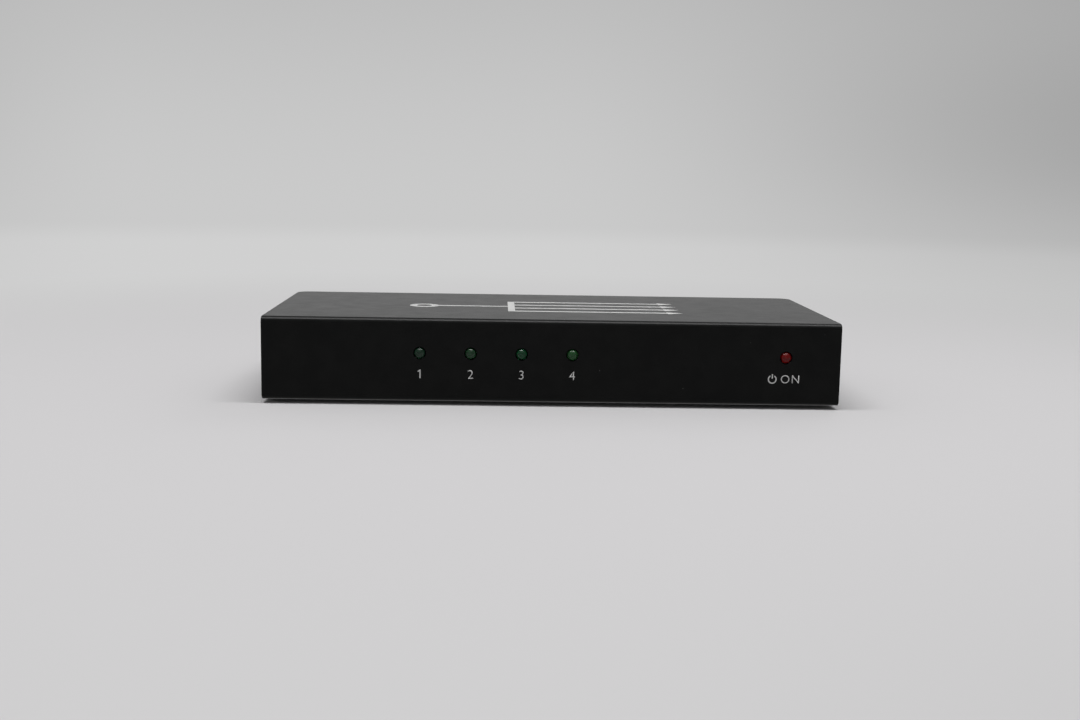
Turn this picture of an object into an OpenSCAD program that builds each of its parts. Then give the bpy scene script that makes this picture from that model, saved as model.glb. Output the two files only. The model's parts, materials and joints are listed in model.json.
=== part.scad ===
// A video splitter with one input and four outputs in a folded steel case, in millimetres.
// +X runs to the right and +Y runs to the rear when the row of lights faces the viewer.
// The origin lies on the table below the middle of the case, and +Z is up.

/* [Case] */
// Depth from the front face to the rear edges of the plates
case_d = 66; // [56:0.5:90]
// Height of the folded cover without its feet
case_h = 21.4; // [20:0.2:32]
// Thickness of the cover's steel sheet
sheet_t = 1.2; // [0.8:0.1:1.6]
// Inside radius of every bend in the sheets
bend_r = 0.4; // [0.2:0.1:0.8]
// Radius of the plates' rear corners seen from above
plate_corner_r = 3.5; // [1:0.5:8]
// How far the plates stand out past the side walls
side_lip = 1; // [0.5:0.1:2]
// How far the plates stand out past the rear wall
rear_lip = 1.3; // [0.8:0.1:2.5]
// Diameter of a rubber foot
foot_d = 8; // [6:0.5:12]
// Height of a rubber foot
foot_h = 1; // [0.6:0.1:3]
// Distance of the feet from the cover's edges
foot_inset = 12; // [9:0.5:18]

/* [Frame] */
// Thickness of the frame's steel sheet
frame_t = 1; // [0.8:0.1:1.4]
// Outside radius of the frame's upright corners
frame_corner_r = 2; // [1.5:0.1:4]
// Width of the flanges that carry the board
flange_w = 10; // [8:0.5:14]
// Width of the flanges that only stiffen an edge
rim_w = 4; // [3:0.5:8]

/* [Board] */
// Thickness of the circuit board
board_t = 1.6; // [1:0.1:2]
// Height of the rings between the frame's flanges and the board
spacer_h = 1.4; // [1:0.1:4]
// Space between the board and the sheets around it
board_gap = 0.7; // [0.4:0.1:2]

/* [Sockets] */
// Distance between neighbouring video sockets
port_pitch = 26; // [22:0.5:34]
// From the cover's edge to the centre of the last output
port_margin = 14.2; // [12:0.2:20]
// From the centre of the input to the centre of the power jack
jack_gap = 19.8; // [16:0.2:26]
// From the centre of the power jack to the cover's edge
jack_margin = 10.4; // [9:0.2:16]
// Outside width of a socket shell
shell_w = 15; // [12.4:0.1:18]
// Outside height of a socket shell
shell_h = 5.5; // [4.5:0.1:6.6]
// Depth of a socket shell
shell_d = 11.6; // [9.6:0.2:14]
// Thickness of a shell's sheet
shell_t = 0.4; // [0.3:0.05:0.5]
// Outside radius of a shell's corners
shell_corner_r = 0.7; // [0.5:0.05:0.9]
// How far the shells stand out of the rear wall
shell_proud = 0.4; // [0.1:0.1:0.8]
// Height of the shells above the board
shell_lift = 0.7; // [0.4:0.1:1.4]
// Width of the tongue inside a shell
tongue_w = 10.4; // [9.6:0.1:11]
// Thickness of the tongue
tongue_t = 1.2; // [0.9:0.1:1.5]
// Distance of the tongue's tip behind the mouth
tongue_back = 1.8; // [1:0.1:2.6]
// Distance between two contacts of one row
contact_pitch = 1; // [0.8:0.05:1.05]
// Width of a contact
contact_w = 0.28; // [0.2:0.02:0.36]
// Thickness of a contact
contact_t = 0.16; // [0.1:0.02:0.2]

/* [Power jack] */
// Width of the jack's housing
jack_w = 9; // [8.2:0.1:11]
// Height of the jack's housing
jack_h = 11.1; // [10:0.1:13]
// Depth of the jack's housing
jack_d = 14.4; // [12:0.2:18]
// Height of the jack's bore above the board
jack_axis_h = 6.6; // [5.6:0.1:7.4]
// Diameter of the jack's bore
jack_bore_d = 6.4; // [5.5:0.1:7]
// Depth of the jack's bore
jack_bore_depth = 9.6; // [8:0.2:11.6]
// Diameter of the jack's centre pin
jack_pin_d = 2.1; // [1.6:0.1:2.6]
// Distance of the pin's tip behind the jack's mouth
jack_pin_back = 1.2; // [0.6:0.1:2]

/* [Lights] */
// Diameter of an indicator lens
led_d = 3; // [2.4:0.1:3.6]
// Length of a lens from its foot to its tip
led_l = 5.3; // [4.4:0.1:6.4]
// How far a lens stands out of the front face
led_proud = 0.6; // [0.3:0.1:1.2]
// Height of the lights above the board
led_axis_h = 7.3; // [5:0.1:9]
// Distance between the lights of neighbouring outputs
led_pitch = 13; // [8:0.5:16]
// From the cover's left edge to the light of output 1
led_margin = 40.2; // [20:0.2:50]
// From the light that shows power to the cover's right edge
power_led_margin = 14.2; // [10:0.2:20]

/* [Screws] */
// Diameter of the screws' shanks
screw_d = 2.5; // [2:0.1:3]
// Diameter of the screws' heads
screw_head_d = 4.6; // [3.8:0.1:5.4]
// Height of the heads on the board
screw_head_h = 1.5; // [1:0.1:2]

/* [Electronics] */
// Side of the splitter chip
chip_w = 14; // [11:0.5:17]
// Height of the splitter chip
chip_h = 1.4; // [1:0.1:2]
// Side of the heat sink
sink_w = 22; // [18:0.5:26]
// Height of the heat sink
sink_h = 6; // [4:0.2:7]
// Number of fins on the heat sink
sink_fins = 7; // [4:1:9]
// Diameter of a capacitor can
can_d = 6.3; // [5:0.1:7.5]
// Height of a capacitor can
can_h = 5.4; // [4:0.1:7]
// Side of the power inductor
coil_w = 7.3; // [6:0.1:9]
// Height of the power inductor
coil_h = 3.8; // [3:0.1:5]

/* [Hidden] */

// Fineness of round parts, and the flats in a rounded corner of an outline
$fn = 48;
$flats = 4;
// Flats in a corner of the thinnest strips, and in the arc of a lens's tip
strip_flats = 1;
dome_flats = 10;
// Clearances: a sheet beside a sheet, a part in its cut-out, a screw in its hole
sheet_fit = 0.15;
cutout_fit = 0.25;
screw_fit = 0.05;
// Clearance of a contact in its slot, and of a core in its shell
slot_fit = 0.03;
core_fit = 0.05;
// Overrun that makes every cut pass its surface
over = 0.5;

// Case and frame
outputs = 4;
case_w = port_margin + outputs * port_pitch + jack_gap + jack_margin;
left_x = -case_w / 2;
right_x = case_w / 2;
front_y = (led_proud - case_d) / 2;
rear_y = front_y + case_d;
floor_z = foot_h + sheet_t;
ceiling_z = foot_h + case_h - sheet_t;
side_x = right_x - side_lip;
wall_y = rear_y - rear_lip;
frame_front_y = front_y + sheet_t + bend_r + sheet_fit;
frame_top_z = ceiling_z - sheet_fit;
frame_bend_r = bend_r + frame_t;

// Board
board_z = floor_z + frame_t + spacer_h;
board_top_z = board_z + board_t;
board_w = 2 * (side_x - frame_t - board_gap);
board_front_y = front_y + sheet_t + board_gap;
board_rear_y = wall_y - frame_t - board_gap;
board_d = board_rear_y - board_front_y;
board_mid_y = (board_front_y + board_rear_y) / 2;
board_corner_r = board_t;

// Sockets: the input is beside the jack, and output 1 is at the far end
socket_xs = [for (i = [0:outputs]) left_x + port_margin + i * port_pitch];
input_x = socket_xs[outputs];
mouth_y = wall_y + shell_proud;
shell_z = board_top_z + shell_lift;
shell_rear_y = mouth_y - shell_d;
outline_shares = [[1, 1], [1, 0.368], [0.849, 0.232], [0.683, 0]];
tongue_height_share = 0.62;
tongue_z = shell_z + shell_h * tongue_height_share;
block_d = shell_d * 0.4;
closure_share = 0.36;
leg_w = shell_t * 3;
leg_drop = shell_t * 2.2;
leg_shares = [0.34, 0.86];
spring_l = shell_d * 0.3;
spring_w = shell_w * 0.1;
spring_dip = shell_t * 0.8;
spring_gap = shell_t * 0.8;
upper_contacts = 10;
lower_contacts = 9;
contact_tip = tongue_back * 0.4;

// Power jack
jack_x = input_x + jack_gap;
jack_mouth_y = wall_y + shell_proud / 2;
jack_axis_z = board_top_z + jack_axis_h;
jack_flange_d = jack_d * 0.24;
jack_rear_y = jack_mouth_y - jack_d;
jack_wall = (jack_w - jack_bore_d) / 2;
jack_shank_d = jack_pin_d * 0.76;
tag_t = 0.4;
tag_w = 1.8;
tag_drop = 2.2;
switch_x = jack_w / 2 - jack_wall * 0.55;
switch_y = jack_mouth_y - jack_d * 0.66;

// Lights
led_z = board_top_z + led_axis_h;
led_tip_y = front_y - led_proud;
led_foot_y = led_tip_y + led_l;
led_foot_t = led_d / 3;
led_foot_d = led_d * 1.27;
led_hole_fit = 0.1;
output_led_xs = [for (i = [0:outputs - 1]) left_x + led_margin + i * led_pitch];
power_led_x = right_x - power_led_margin;
led_xs = concat(output_led_xs, [power_led_x]);
lead_w = led_d / 6;
lead_spread = led_d * 0.85;
lead_run = led_d * 0.6;
lead_y = led_foot_y + lead_run;
lead_hole_d = lead_w * 1.9;
lead_drop = lead_w * 1.4;

// Screws: the first row holds the frame to the cover, the second the board to the frame
case_screw_l = sheet_t + frame_t + spacer_h * 0.6;
board_screw_l = board_top_z - floor_z - sheet_fit;
case_screw_shares = [0.27, 0.56];
board_screw_shares = [0.07, 0.68];
screw_x = side_x - frame_t - flange_w / 2;
countersink_share = 0.5;
countersink_h = (screw_head_d - screw_d) * countersink_share;
spacer_d = screw_head_d * 1.15;
recess_w = screw_d * 0.26;
recess_l = screw_d * 0.9;
recess_h = screw_head_h * 0.5;

// Electronics, placed by shares of the board's half width and half depth from its middle
chip_share = [-0.11, -0.05];
chip_standoff = chip_h * 0.1;
chip_side_leads = 15;
chip_lead_pitch = chip_w * 0.9 / chip_side_leads;
chip_lead_w = chip_lead_pitch * 0.42;
chip_lead_t = chip_h * 0.12;
chip_lead_l = chip_w * 0.075;
pad_t = 0.5;
pad_w = chip_w * 0.9;
sink_base_t = sink_h * 0.28;
regulator_share = [0.6, -0.02];
regulator_w = 6.5;
regulator_d = 3.6;
regulator_h = 1.6;
coil_share = [0.42, -0.12];
crystal_share = [-0.42, -0.16];
crystal_l = 11;
crystal_w = 4.6;
crystal_h = 3.4;
can_shares = [[0.86, 0.16], [0.74, -0.3], [0.27, -0.28]];
can_base_shares = [
    [0.53, 0.53], [-0.32, 0.53], [-0.53, 0.32], [-0.53, -0.32], [-0.32, -0.53], [0.53, -0.53]];
memory_share = [-0.6, -0.1];
memory_w = 4.9;
memory_d = 3.9;
memory_h = 1.5;
diode_share = [0.86, -0.12];
diode_l = 4.3;
diode_w = 2.6;
diode_h = 2.1;
array_w = 2.5;
array_d = 1;
array_h = 0.5;
array_spread = shell_w * 0.2;
array_y = shell_rear_y - shell_d * 0.34;
resistor_l = 1.6;
resistor_w = 0.8;
resistor_h = 0.5;
resistor_y = array_y - shell_d * 0.26;
resistors_each = 4;

// Places and outlines
function on_board(share) = [share.x * board_w / 2, board_mid_y + share.y * board_d / 2];
function along_board(share) = board_front_y + share * board_d;
function unit(v) = v / norm(v);
function turn(a, b) = a.x * b.y - a.y * b.x;
function left_of(v) = [-v.y, v.x];

// The points of one corner b, between a and c, rounded to radius r
function corner(a, b, c, r) =
    r <= 0 ? [b] : let (
        u = unit(a - b),
        w = unit(c - b),
        half = acos(u * w) / 2,
        centre = b + unit(u + w) * r / sin(half),
        from = b + u * r / tan(half) - centre,
        to = b + w * r / tan(half) - centre,
        start = atan2(from.y, from.x),
        sweep = atan2(turn(from, to), from * to)
    ) [for (k = [0:$flats]) centre + r * [cos(start + sweep * k / $flats), sin(start + sweep * k / $flats)]];

// A closed outline with each corner rounded to its own radius
function rounded(points, radii) =
    let (n = len(points))
    [for (i = [0:n - 1]) each corner(points[(i + n - 1) % n], points[i], points[(i + 1) % n], radii[i])];

// The point where two edges that meet at b lie after both move to their left by d
function mitred(a, b, c, d) =
    let (m = left_of(unit(b - a)), n = left_of(unit(c - b)))
    b + d * (m + n) / (1 + m * n);

// A closed anticlockwise outline moved inwards by d, or outwards where d is negative
function inset(points, d) =
    let (n = len(points))
    [for (i = [0:n - 1]) mitred(points[(i + n - 1) % n], points[i], points[(i + 1) % n], d)];

// An open path moved to its left by d
function beside(path, d) =
    let (n = len(path))
    [for (i = [0:n - 1])
        i == 0 ? path[0] + d * left_of(unit(path[1] - path[0])) :
        i == n - 1 ? path[i] + d * left_of(unit(path[i] - path[i - 1])) :
        mitred(path[i - 1], path[i], path[i + 1], d)];

function reversed(list) = [for (i = [len(list) - 1:-1:0]) list[i]];

// The radii of a path's corners where sheet of thickness t lies to its left
function bends(path, t, r, outer) =
    let (n = len(path))
    [for (i = [0:n - 1])
        i == 0 || i == n - 1 ? 0 :
        (turn(path[i] - path[i - 1], path[i + 1] - path[i]) * t > 0) == outer ? r + abs(t) : r];

// The section of a sheet of thickness t that is folded along a path with inside radius r
module folded(path, t, r)
    polygon(rounded(
        concat(path, reversed(beside(path, t))),
        concat(bends(path, t, r, true), reversed(bends(path, t, r, false)))));

// A section drawn in Y and Z, run along X over a width that is centred on x
module across(x, w) translate([x - w / 2, 0, 0]) rotate([90, 0, 90]) linear_extrude(w) children();

// A section drawn in X and Z, run along Y from y towards the rear
module rearward(y, l) translate([0, y + l, 0]) rotate([90, 0, 0]) linear_extrude(l) children();

module box(low, high) translate(low) cube(high - low);

// A round solid about the Y axis, from a section of [radius, distance along -Y]
module turned_forward(points) rotate([90, 0, 0]) rotate_extrude() polygon(points);

// Case

module cover_holes() {
    for (x = led_xs)
        translate([x, front_y + sheet_t + over, led_z])
            rotate([90, 0, 0])
                cylinder(h = sheet_t + 2 * over, d = led_d + 2 * led_hole_fit);
    for (x = [-screw_x, screw_x], share = case_screw_shares)
        translate([x, along_board(share), foot_h])
            countersink();
}

module countersink() {
    translate([0, 0, -over])
        cylinder(h = sheet_t + 2 * over, d = screw_d + 4 * screw_fit);
    translate([0, 0, -screw_fit])
        cylinder(
            h = countersink_h + screw_fit,
            d1 = screw_head_d + 2 * screw_fit,
            d2 = screw_d + 2 * screw_fit);
}

module wrap_cover() color([0.06, 0.06, 0.065]) difference() {
    intersection() {
        across(0, case_w)
            folded(
                [[rear_y, foot_h], [front_y, foot_h], [front_y, foot_h + case_h], [rear_y, foot_h + case_h]],
                -sheet_t, bend_r);
        translate([0, 0, -over])
            linear_extrude(foot_h + case_h + 2 * over)
                polygon(rounded(
                    [[left_x, front_y], [right_x, front_y], [right_x, rear_y], [left_x, rear_y]],
                    [0, 0, plate_corner_r, plate_corner_r]));
    }
    cover_holes();
}

module rubber_feet() color([0.1, 0.1, 0.1])
    for (x = [left_x + foot_inset, right_x - foot_inset], y = [front_y + foot_inset, rear_y - foot_inset])
        translate([x, y, 0])
            rotate_extrude()
                polygon([
                    [0, 0], [foot_d * 0.46, 0], [foot_d / 2, foot_h * 0.4],
                    [foot_d / 2, foot_h], [0, foot_h]]);

// A countersunk screw that points up from the cover's underside
module case_screws() color([0.2, 0.2, 0.21])
    for (x = [-screw_x, screw_x], share = case_screw_shares)
        translate([x, along_board(share), foot_h])
            difference() {
                rotate_extrude()
                    polygon([
                        [0, 0], [screw_head_d / 2, 0], [screw_d / 2, countersink_h],
                        [screw_d / 2, case_screw_l - screw_d * 0.15], [screw_d * 0.35, case_screw_l],
                        [0, case_screw_l]]);
                recess(-over, countersink_h * 0.7);
            }

// The cross recess between two heights
module recess(z0, z1)
    for (size = [[recess_l, recess_w], [recess_w, recess_l]])
        box([-size.x, -size.y, z0] / 2 + [0, 0, z0 / 2], [size.x, size.y, z1] / 2 + [0, 0, z1 / 2]);

// Frame

module frame_side()
    rearward(frame_front_y, wall_y - frame_corner_r - frame_front_y)
        folded(
            [[side_x - flange_w, floor_z], [side_x, floor_z],
             [side_x, frame_top_z], [side_x - rim_w, frame_top_z]],
            frame_t, bend_r);

module frame_corner()
    translate([side_x - frame_corner_r, wall_y - frame_corner_r, floor_z])
        linear_extrude(frame_top_z - floor_z)
            intersection() {
                difference() {
                    circle(frame_corner_r);
                    circle(frame_corner_r - frame_t);
                }
                square(frame_corner_r);
            }

module frame_rear()
    across(0, 2 * (side_x - frame_corner_r))
        folded(
            [[wall_y - rim_w, frame_top_z], [wall_y, frame_top_z],
             [wall_y, floor_z], [wall_y - rim_w, floor_z]],
            -frame_t, bend_r);

// Gaps at both ends of the rear wall's flanges, so that they clear the side flanges
module flange_reliefs()
    for (side = [0, 1])
        mirror([side, 0, 0])
            box([side_x - flange_w - frame_t, wall_y - rim_w - frame_bend_r - over, floor_z - over],
                [side_x - frame_bend_r, wall_y - frame_corner_r, frame_top_z + over]);

module rear_frame() color([0.07, 0.07, 0.075]) difference() {
    union() {
        for (side = [0, 1])
            mirror([side, 0, 0]) {
                frame_side();
                frame_corner();
            }
        frame_rear();
    }
    for (x = socket_xs)
        translate([x, 0, 0])
            rearward(wall_y - frame_t - over, frame_t + 2 * over)
                polygon(shell_outline(-cutout_fit));
    translate([jack_x, 0, 0])
        box([-jack_w / 2 - cutout_fit, wall_y - frame_t - over, board_top_z - cutout_fit],
            [jack_w / 2 + cutout_fit, wall_y + over, board_top_z + jack_h + cutout_fit]);
    flange_reliefs();
    for (x = [-screw_x, screw_x], share = concat(case_screw_shares, board_screw_shares))
        translate([x, along_board(share), floor_z - over])
            cylinder(h = frame_t + 2 * over, d = screw_d + 2 * screw_fit);
}

// Board

module circuit_board() color([0.05, 0.3, 0.12]) difference() {
    translate([0, 0, board_z])
        linear_extrude(board_t)
            polygon(rounded(
                [[-board_w / 2, board_front_y], [board_w / 2, board_front_y],
                 [board_w / 2, board_rear_y], [-board_w / 2, board_rear_y]],
                [for (i = [1:4]) board_corner_r]));
    for (x = [-screw_x, screw_x], share = board_screw_shares)
        translate([x, along_board(share), board_z - over])
            cylinder(h = board_t + 2 * over, d = screw_d + 4 * screw_fit);
    for (x = led_xs, side = [-1, 1])
        translate([x + side * lead_spread / 2, lead_y + lead_w / 2, board_z - over])
            cylinder(h = board_t + 2 * over, d = lead_hole_d, $fn = 24);
    for (x = socket_xs)
        translate([x, 0, 0])
            socket_legs(cutout_fit);
    jack_tags(cutout_fit);
}

module board_spacers() color([0.8, 0.78, 0.7])
    for (x = [-screw_x, screw_x], share = board_screw_shares)
        translate([x, along_board(share), floor_z + frame_t])
            difference() {
                cylinder(h = spacer_h, d = spacer_d);
                translate([0, 0, -over])
                    cylinder(h = spacer_h + 2 * over, d = screw_d + 4 * screw_fit);
            }

module board_screws() color([0.7, 0.7, 0.72])
    for (x = [-screw_x, screw_x], share = board_screw_shares)
        translate([x, along_board(share), board_top_z])
            difference() {
                rotate_extrude()
                    polygon([
                        [0, -board_screw_l], [screw_d / 2, -board_screw_l], [screw_d / 2, 0],
                        [screw_head_d / 2, 0], [screw_head_d / 2, screw_head_h * 0.5],
                        [screw_head_d * 0.36, screw_head_h], [0, screw_head_h]]);
                recess(screw_head_h - recess_h, screw_head_h + over);
            }

// Video sockets

// A shell's outline in X and Z, moved inwards by d
function shell_outline(d) =
    let (
        half = [for (share = outline_shares) [share.x * shell_w / 2, shell_z + share.y * shell_h]],
        sharp = concat([for (p = half) [-p.x, p.y]], reversed(half)),
        moved = inset(sharp, d)
    ) rounded(moved, [for (p = sharp) max(shell_corner_r - d, shell_t / 2)]);

// The straight legs that stand in the board, with room around them where fit isn't zero
module socket_legs(fit)
    for (side = [0, 1], share = leg_shares)
        mirror([side, 0, 0])
            translate([shell_w / 2 - shell_t, mouth_y - share * shell_d, 0])
                box([-fit, -leg_w / 2 - fit, board_z - leg_drop - fit],
                    [shell_t + fit, leg_w / 2 + fit, shell_z + shell_h * outline_shares[1].y + shell_t]);

// A leaf that is cut free on three sides and dips into the shell
module spring_leaf(top) {
    z = top ? shell_z + shell_h : shell_z + shell_t;
    dip = top ? -spring_dip : spring_dip;
    base = top ? z - shell_t : z;
    open_y = mouth_y - shell_d * 0.2;
    across(0, spring_w)
        folded(
            [[open_y - spring_l - shell_t, base], [open_y - spring_l, base],
             [open_y - spring_l * 0.3, base + dip], [open_y - spring_gap, base + dip * 0.4]],
            top ? shell_t / 2 : -shell_t / 2, shell_t / 4, $flats = strip_flats);
}

module spring_window(top) {
    z = top ? shell_z + shell_h - shell_t : shell_z;
    open_y = mouth_y - shell_d * 0.2;
    across(0, spring_w + 2 * spring_gap)
        polygon([
            [open_y - spring_l, z - shell_t / 4], [open_y, z - shell_t / 4],
            [open_y, z + shell_t * 1.25], [open_y - spring_l, z + shell_t * 1.25]]);
}

module at_springs()
    for (side = [-1, 1])
        translate([side * shell_w * 0.2, 0, 0])
            children();

module socket_shell() color([0.78, 0.7, 0.5]) {
    difference() {
        rearward(shell_rear_y, shell_d)
            polygon(shell_outline(0));
        rearward(shell_rear_y + shell_t, shell_d)
            polygon(shell_outline(shell_t));
        at_springs() {
            spring_window(true);
            spring_window(false);
        }
        // The rear of the underside is open for the core's foot and the contacts' tails
        box([-shell_w, shell_rear_y - over, shell_z - over],
            [shell_w, shell_rear_y + block_d + core_fit, shell_z + shell_h * closure_share]);
    }
    socket_legs(0);
    at_springs() {
        spring_leaf(true);
        spring_leaf(false);
    }
}

// A contact runs along the tongue, down through the core and back along the board
module contact(upper, fit) {
    z = upper ? tongue_z + tongue_t / 2 : tongue_z - tongue_t / 2 - contact_t;
    down_y = shell_rear_y + block_d * (upper ? 0.3 : 0.62);
    tip_y = mouth_y - tongue_back - contact_tip + fit;
    tail_y = shell_rear_y - block_d * 0.2 - fit;
    across(0, contact_w + 2 * fit)
        folded(
            [[tip_y, z + contact_t + fit], [down_y - fit, z + contact_t + fit],
             [down_y - fit, board_top_z + contact_t + fit], [tail_y, board_top_z + contact_t + fit]],
            contact_t + 2 * fit, contact_t / 4, $flats = strip_flats);
}

module socket_contacts(fit) {
    for (i = [0:upper_contacts - 1])
        translate([(i - (upper_contacts - 1) / 2) * contact_pitch, 0, 0])
            contact(true, fit);
    for (i = [0:lower_contacts - 1])
        translate([(i - (lower_contacts - 1) / 2) * contact_pitch, 0, 0])
            contact(false, fit);
}

// The moulded core: a block that fills the shell's rear, its foot on the board, and the tongue
module socket_core() color([0.06, 0.06, 0.06]) difference() {
    union() {
        rearward(shell_rear_y + shell_t + core_fit, block_d - shell_t - core_fit)
            polygon(shell_outline(shell_t + core_fit));
        box([-tongue_w * 0.56, shell_rear_y + block_d * 0.16, board_top_z],
            [tongue_w * 0.56, shell_rear_y + block_d, shell_z + shell_h * closure_share]);
        across(0, tongue_w)
            polygon(rounded(
                [[shell_rear_y + block_d - over, tongue_z - tongue_t / 2],
                 [mouth_y - tongue_back, tongue_z - tongue_t / 2],
                 [mouth_y - tongue_back, tongue_z + tongue_t / 2],
                 [shell_rear_y + block_d - over, tongue_z + tongue_t / 2]],
                [0, tongue_t * 0.3, tongue_t * 0.3, 0]));
    }
    socket_contacts(slot_fit);
}

module at_socket(i) translate([socket_xs[i], 0, 0]) children();

module contact_set() color([0.85, 0.68, 0.3]) socket_contacts(0);

module output_socket_1_shell() at_socket(0) socket_shell();
module output_socket_2_shell() at_socket(1) socket_shell();
module output_socket_3_shell() at_socket(2) socket_shell();
module output_socket_4_shell() at_socket(3) socket_shell();
module input_socket_shell() at_socket(4) socket_shell();

module output_socket_1_core() at_socket(0) socket_core();
module output_socket_2_core() at_socket(1) socket_core();
module output_socket_3_core() at_socket(2) socket_core();
module output_socket_4_core() at_socket(3) socket_core();
module input_socket_core() at_socket(4) socket_core();

module output_socket_1_contacts() at_socket(0) contact_set();
module output_socket_2_contacts() at_socket(1) contact_set();
module output_socket_3_contacts() at_socket(2) contact_set();
module output_socket_4_contacts() at_socket(3) contact_set();
module input_socket_contacts() at_socket(4) contact_set();

// Power jack

module jack_pin_tag(fit)
    translate([jack_x, 0, 0])
        box([-tag_w / 2 - fit, jack_rear_y - tag_t - fit, board_top_z - tag_drop - fit],
            [tag_w / 2 + fit, jack_rear_y + fit, jack_axis_z + tag_w / 2 + fit]);

// The spring lies in a slot below the bore and rises into it where a plug's sleeve passes
module jack_spring(fit) {
    floor = jack_axis_z - jack_bore_d / 2;
    y0 = jack_mouth_y - jack_flange_d;
    y1 = jack_mouth_y - jack_bore_depth * 0.86;
    translate([jack_x, 0, 0])
        across(0, tag_w + 2 * fit)
            folded(
                [[y0 + fit, floor + tag_t * 0.2 + fit], [(y0 + y1) / 2, floor + tag_t * 1.8 + fit],
                 [y1 - fit, floor + fit], [y1 - fit, board_top_z - tag_drop - fit]],
                tag_t + 2 * fit, tag_t / 4);
}

module jack_switch(fit)
    translate([jack_x, 0, 0])
        box([switch_x - fit, switch_y - fit, board_top_z - tag_drop - fit],
            [switch_x + tag_t + fit, switch_y + tag_w + fit, jack_axis_z + fit]);

module jack_tags(fit) {
    jack_pin_tag(fit);
    jack_spring(fit);
    jack_switch(fit);
}

module dc_jack_housing() color([0.05, 0.05, 0.05]) difference() {
    union() {
        translate([jack_x, 0, 0])
            box([-jack_w / 2, jack_mouth_y - jack_flange_d, board_top_z],
                [jack_w / 2, jack_mouth_y, board_top_z + jack_h]);
        // Behind the flange the housing is rounded over the bore
        translate([jack_x, 0, 0])
            rearward(jack_rear_y, jack_d - jack_flange_d + over)
                polygon(rounded(
                    [[-jack_w / 2, board_top_z], [jack_w / 2, board_top_z],
                     [jack_w / 2, board_top_z + jack_h - jack_wall / 2],
                     [-jack_w / 2, board_top_z + jack_h - jack_wall / 2]],
                    [0, 0, jack_w * 0.4, jack_w * 0.4]));
    }
    translate([jack_x, jack_mouth_y + over, jack_axis_z])
        rotate([90, 0, 0])
            cylinder(h = jack_bore_depth + over, d = jack_bore_d);
    translate([jack_x, jack_mouth_y, jack_axis_z])
        rotate([90, 0, 0])
            cylinder(h = jack_d + over, d = jack_shank_d + 2 * screw_fit);
    jack_spring(screw_fit);
    jack_switch(screw_fit);
}

module dc_jack_center_pin() color([0.75, 0.75, 0.76]) {
    translate([jack_x, jack_mouth_y, jack_axis_z])
        turned_forward([
            [0, jack_pin_back], [jack_pin_d * 0.3, jack_pin_back],
            [jack_pin_d / 2, jack_pin_back + jack_pin_d * 0.4],
            [jack_pin_d / 2, jack_bore_depth], [jack_shank_d / 2, jack_bore_depth],
            [jack_shank_d / 2, jack_d + tag_t / 2], [0, jack_d + tag_t / 2]]);
    jack_pin_tag(0);
}

module dc_jack_spring_contact() color([0.75, 0.75, 0.76]) jack_spring(0);
module dc_jack_switch_contact() color([0.75, 0.75, 0.76]) jack_switch(0);

// Lights

function dome(r, steps) = [for (k = [0:steps]) [r * sin(90 * k / steps), r - r * cos(90 * k / steps)]];

// A lens with its round tip to the front and a foot that is flat on one side
module lens(x) translate([x, led_tip_y, led_z]) difference() {
    rotate([-90, 0, 0])
        rotate_extrude()
            polygon(concat(
                dome(led_d / 2, dome_flats),
                [[led_d / 2, led_l - led_foot_t], [led_foot_d / 2, led_l - led_foot_t],
                 [led_foot_d / 2, led_l], [0, led_l]]));
    box([led_d / 2 + led_hole_fit, led_l - led_foot_t - over, -led_d], [led_d, led_l + over, led_d]);
}

module green_lens(i) color([0.1, 0.5, 0.2]) lens(output_led_xs[i]);

module output_led_1() green_lens(0);
module output_led_2() green_lens(1);
module output_led_3() green_lens(2);
module output_led_4() green_lens(3);
module power_led() color([0.7, 0.08, 0.08]) lens(power_led_x);

module led_leads() color([0.75, 0.75, 0.76])
    for (x = led_xs, side = [-1, 1])
        across(x + side * lead_spread / 2, lead_w)
            folded(
                [[led_foot_y, led_z + lead_w / 2], [lead_y + lead_w, led_z + lead_w / 2],
                 [lead_y + lead_w, board_z - lead_drop]],
                -lead_w, lead_w / 4, $flats = strip_flats);

// Electronics

module on_top(share, z = 0) {
    xy = on_board(share);
    translate([xy.x, xy.y, board_top_z + z])
        children();
}

module block(w, d, h, r = 0)
    linear_extrude(h)
        polygon(rounded(
            [[-w / 2, -d / 2], [w / 2, -d / 2], [w / 2, d / 2], [-w / 2, d / 2]],
            [for (i = [1:4]) r]));

module splitter_chip() color([0.08, 0.08, 0.085])
    on_top(chip_share, chip_standoff)
        difference() {
            block(chip_w, chip_w, chip_h - chip_standoff, chip_w * 0.03);
            translate([-chip_w * 0.4, -chip_w * 0.4, chip_h - chip_standoff - chip_h * 0.06])
                cylinder(h = over, d = chip_w * 0.08);
        }

// One gull-wing lead that leaves the chip towards -Y
module chip_lead()
    across(0, chip_lead_w)
        folded(
            [[-chip_w / 2, chip_h * 0.55], [-chip_w / 2 - chip_lead_l * 0.4, chip_h * 0.55],
             [-chip_w / 2 - chip_lead_l * 0.55, chip_lead_t], [-chip_w / 2 - chip_lead_l, chip_lead_t]],
            chip_lead_t, chip_lead_t / 5, $flats = strip_flats);

module splitter_chip_leads() color([0.75, 0.75, 0.76])
    on_top(chip_share)
        for (quarter = [0:3], i = [0:chip_side_leads - 1])
            rotate([0, 0, 90 * quarter])
                translate([(i - (chip_side_leads - 1) / 2) * chip_lead_pitch, 0, 0])
                    chip_lead();

module thermal_pad() color([0.6, 0.65, 0.75])
    on_top(chip_share, chip_h)
        block(pad_w, pad_w, pad_t);

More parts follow.
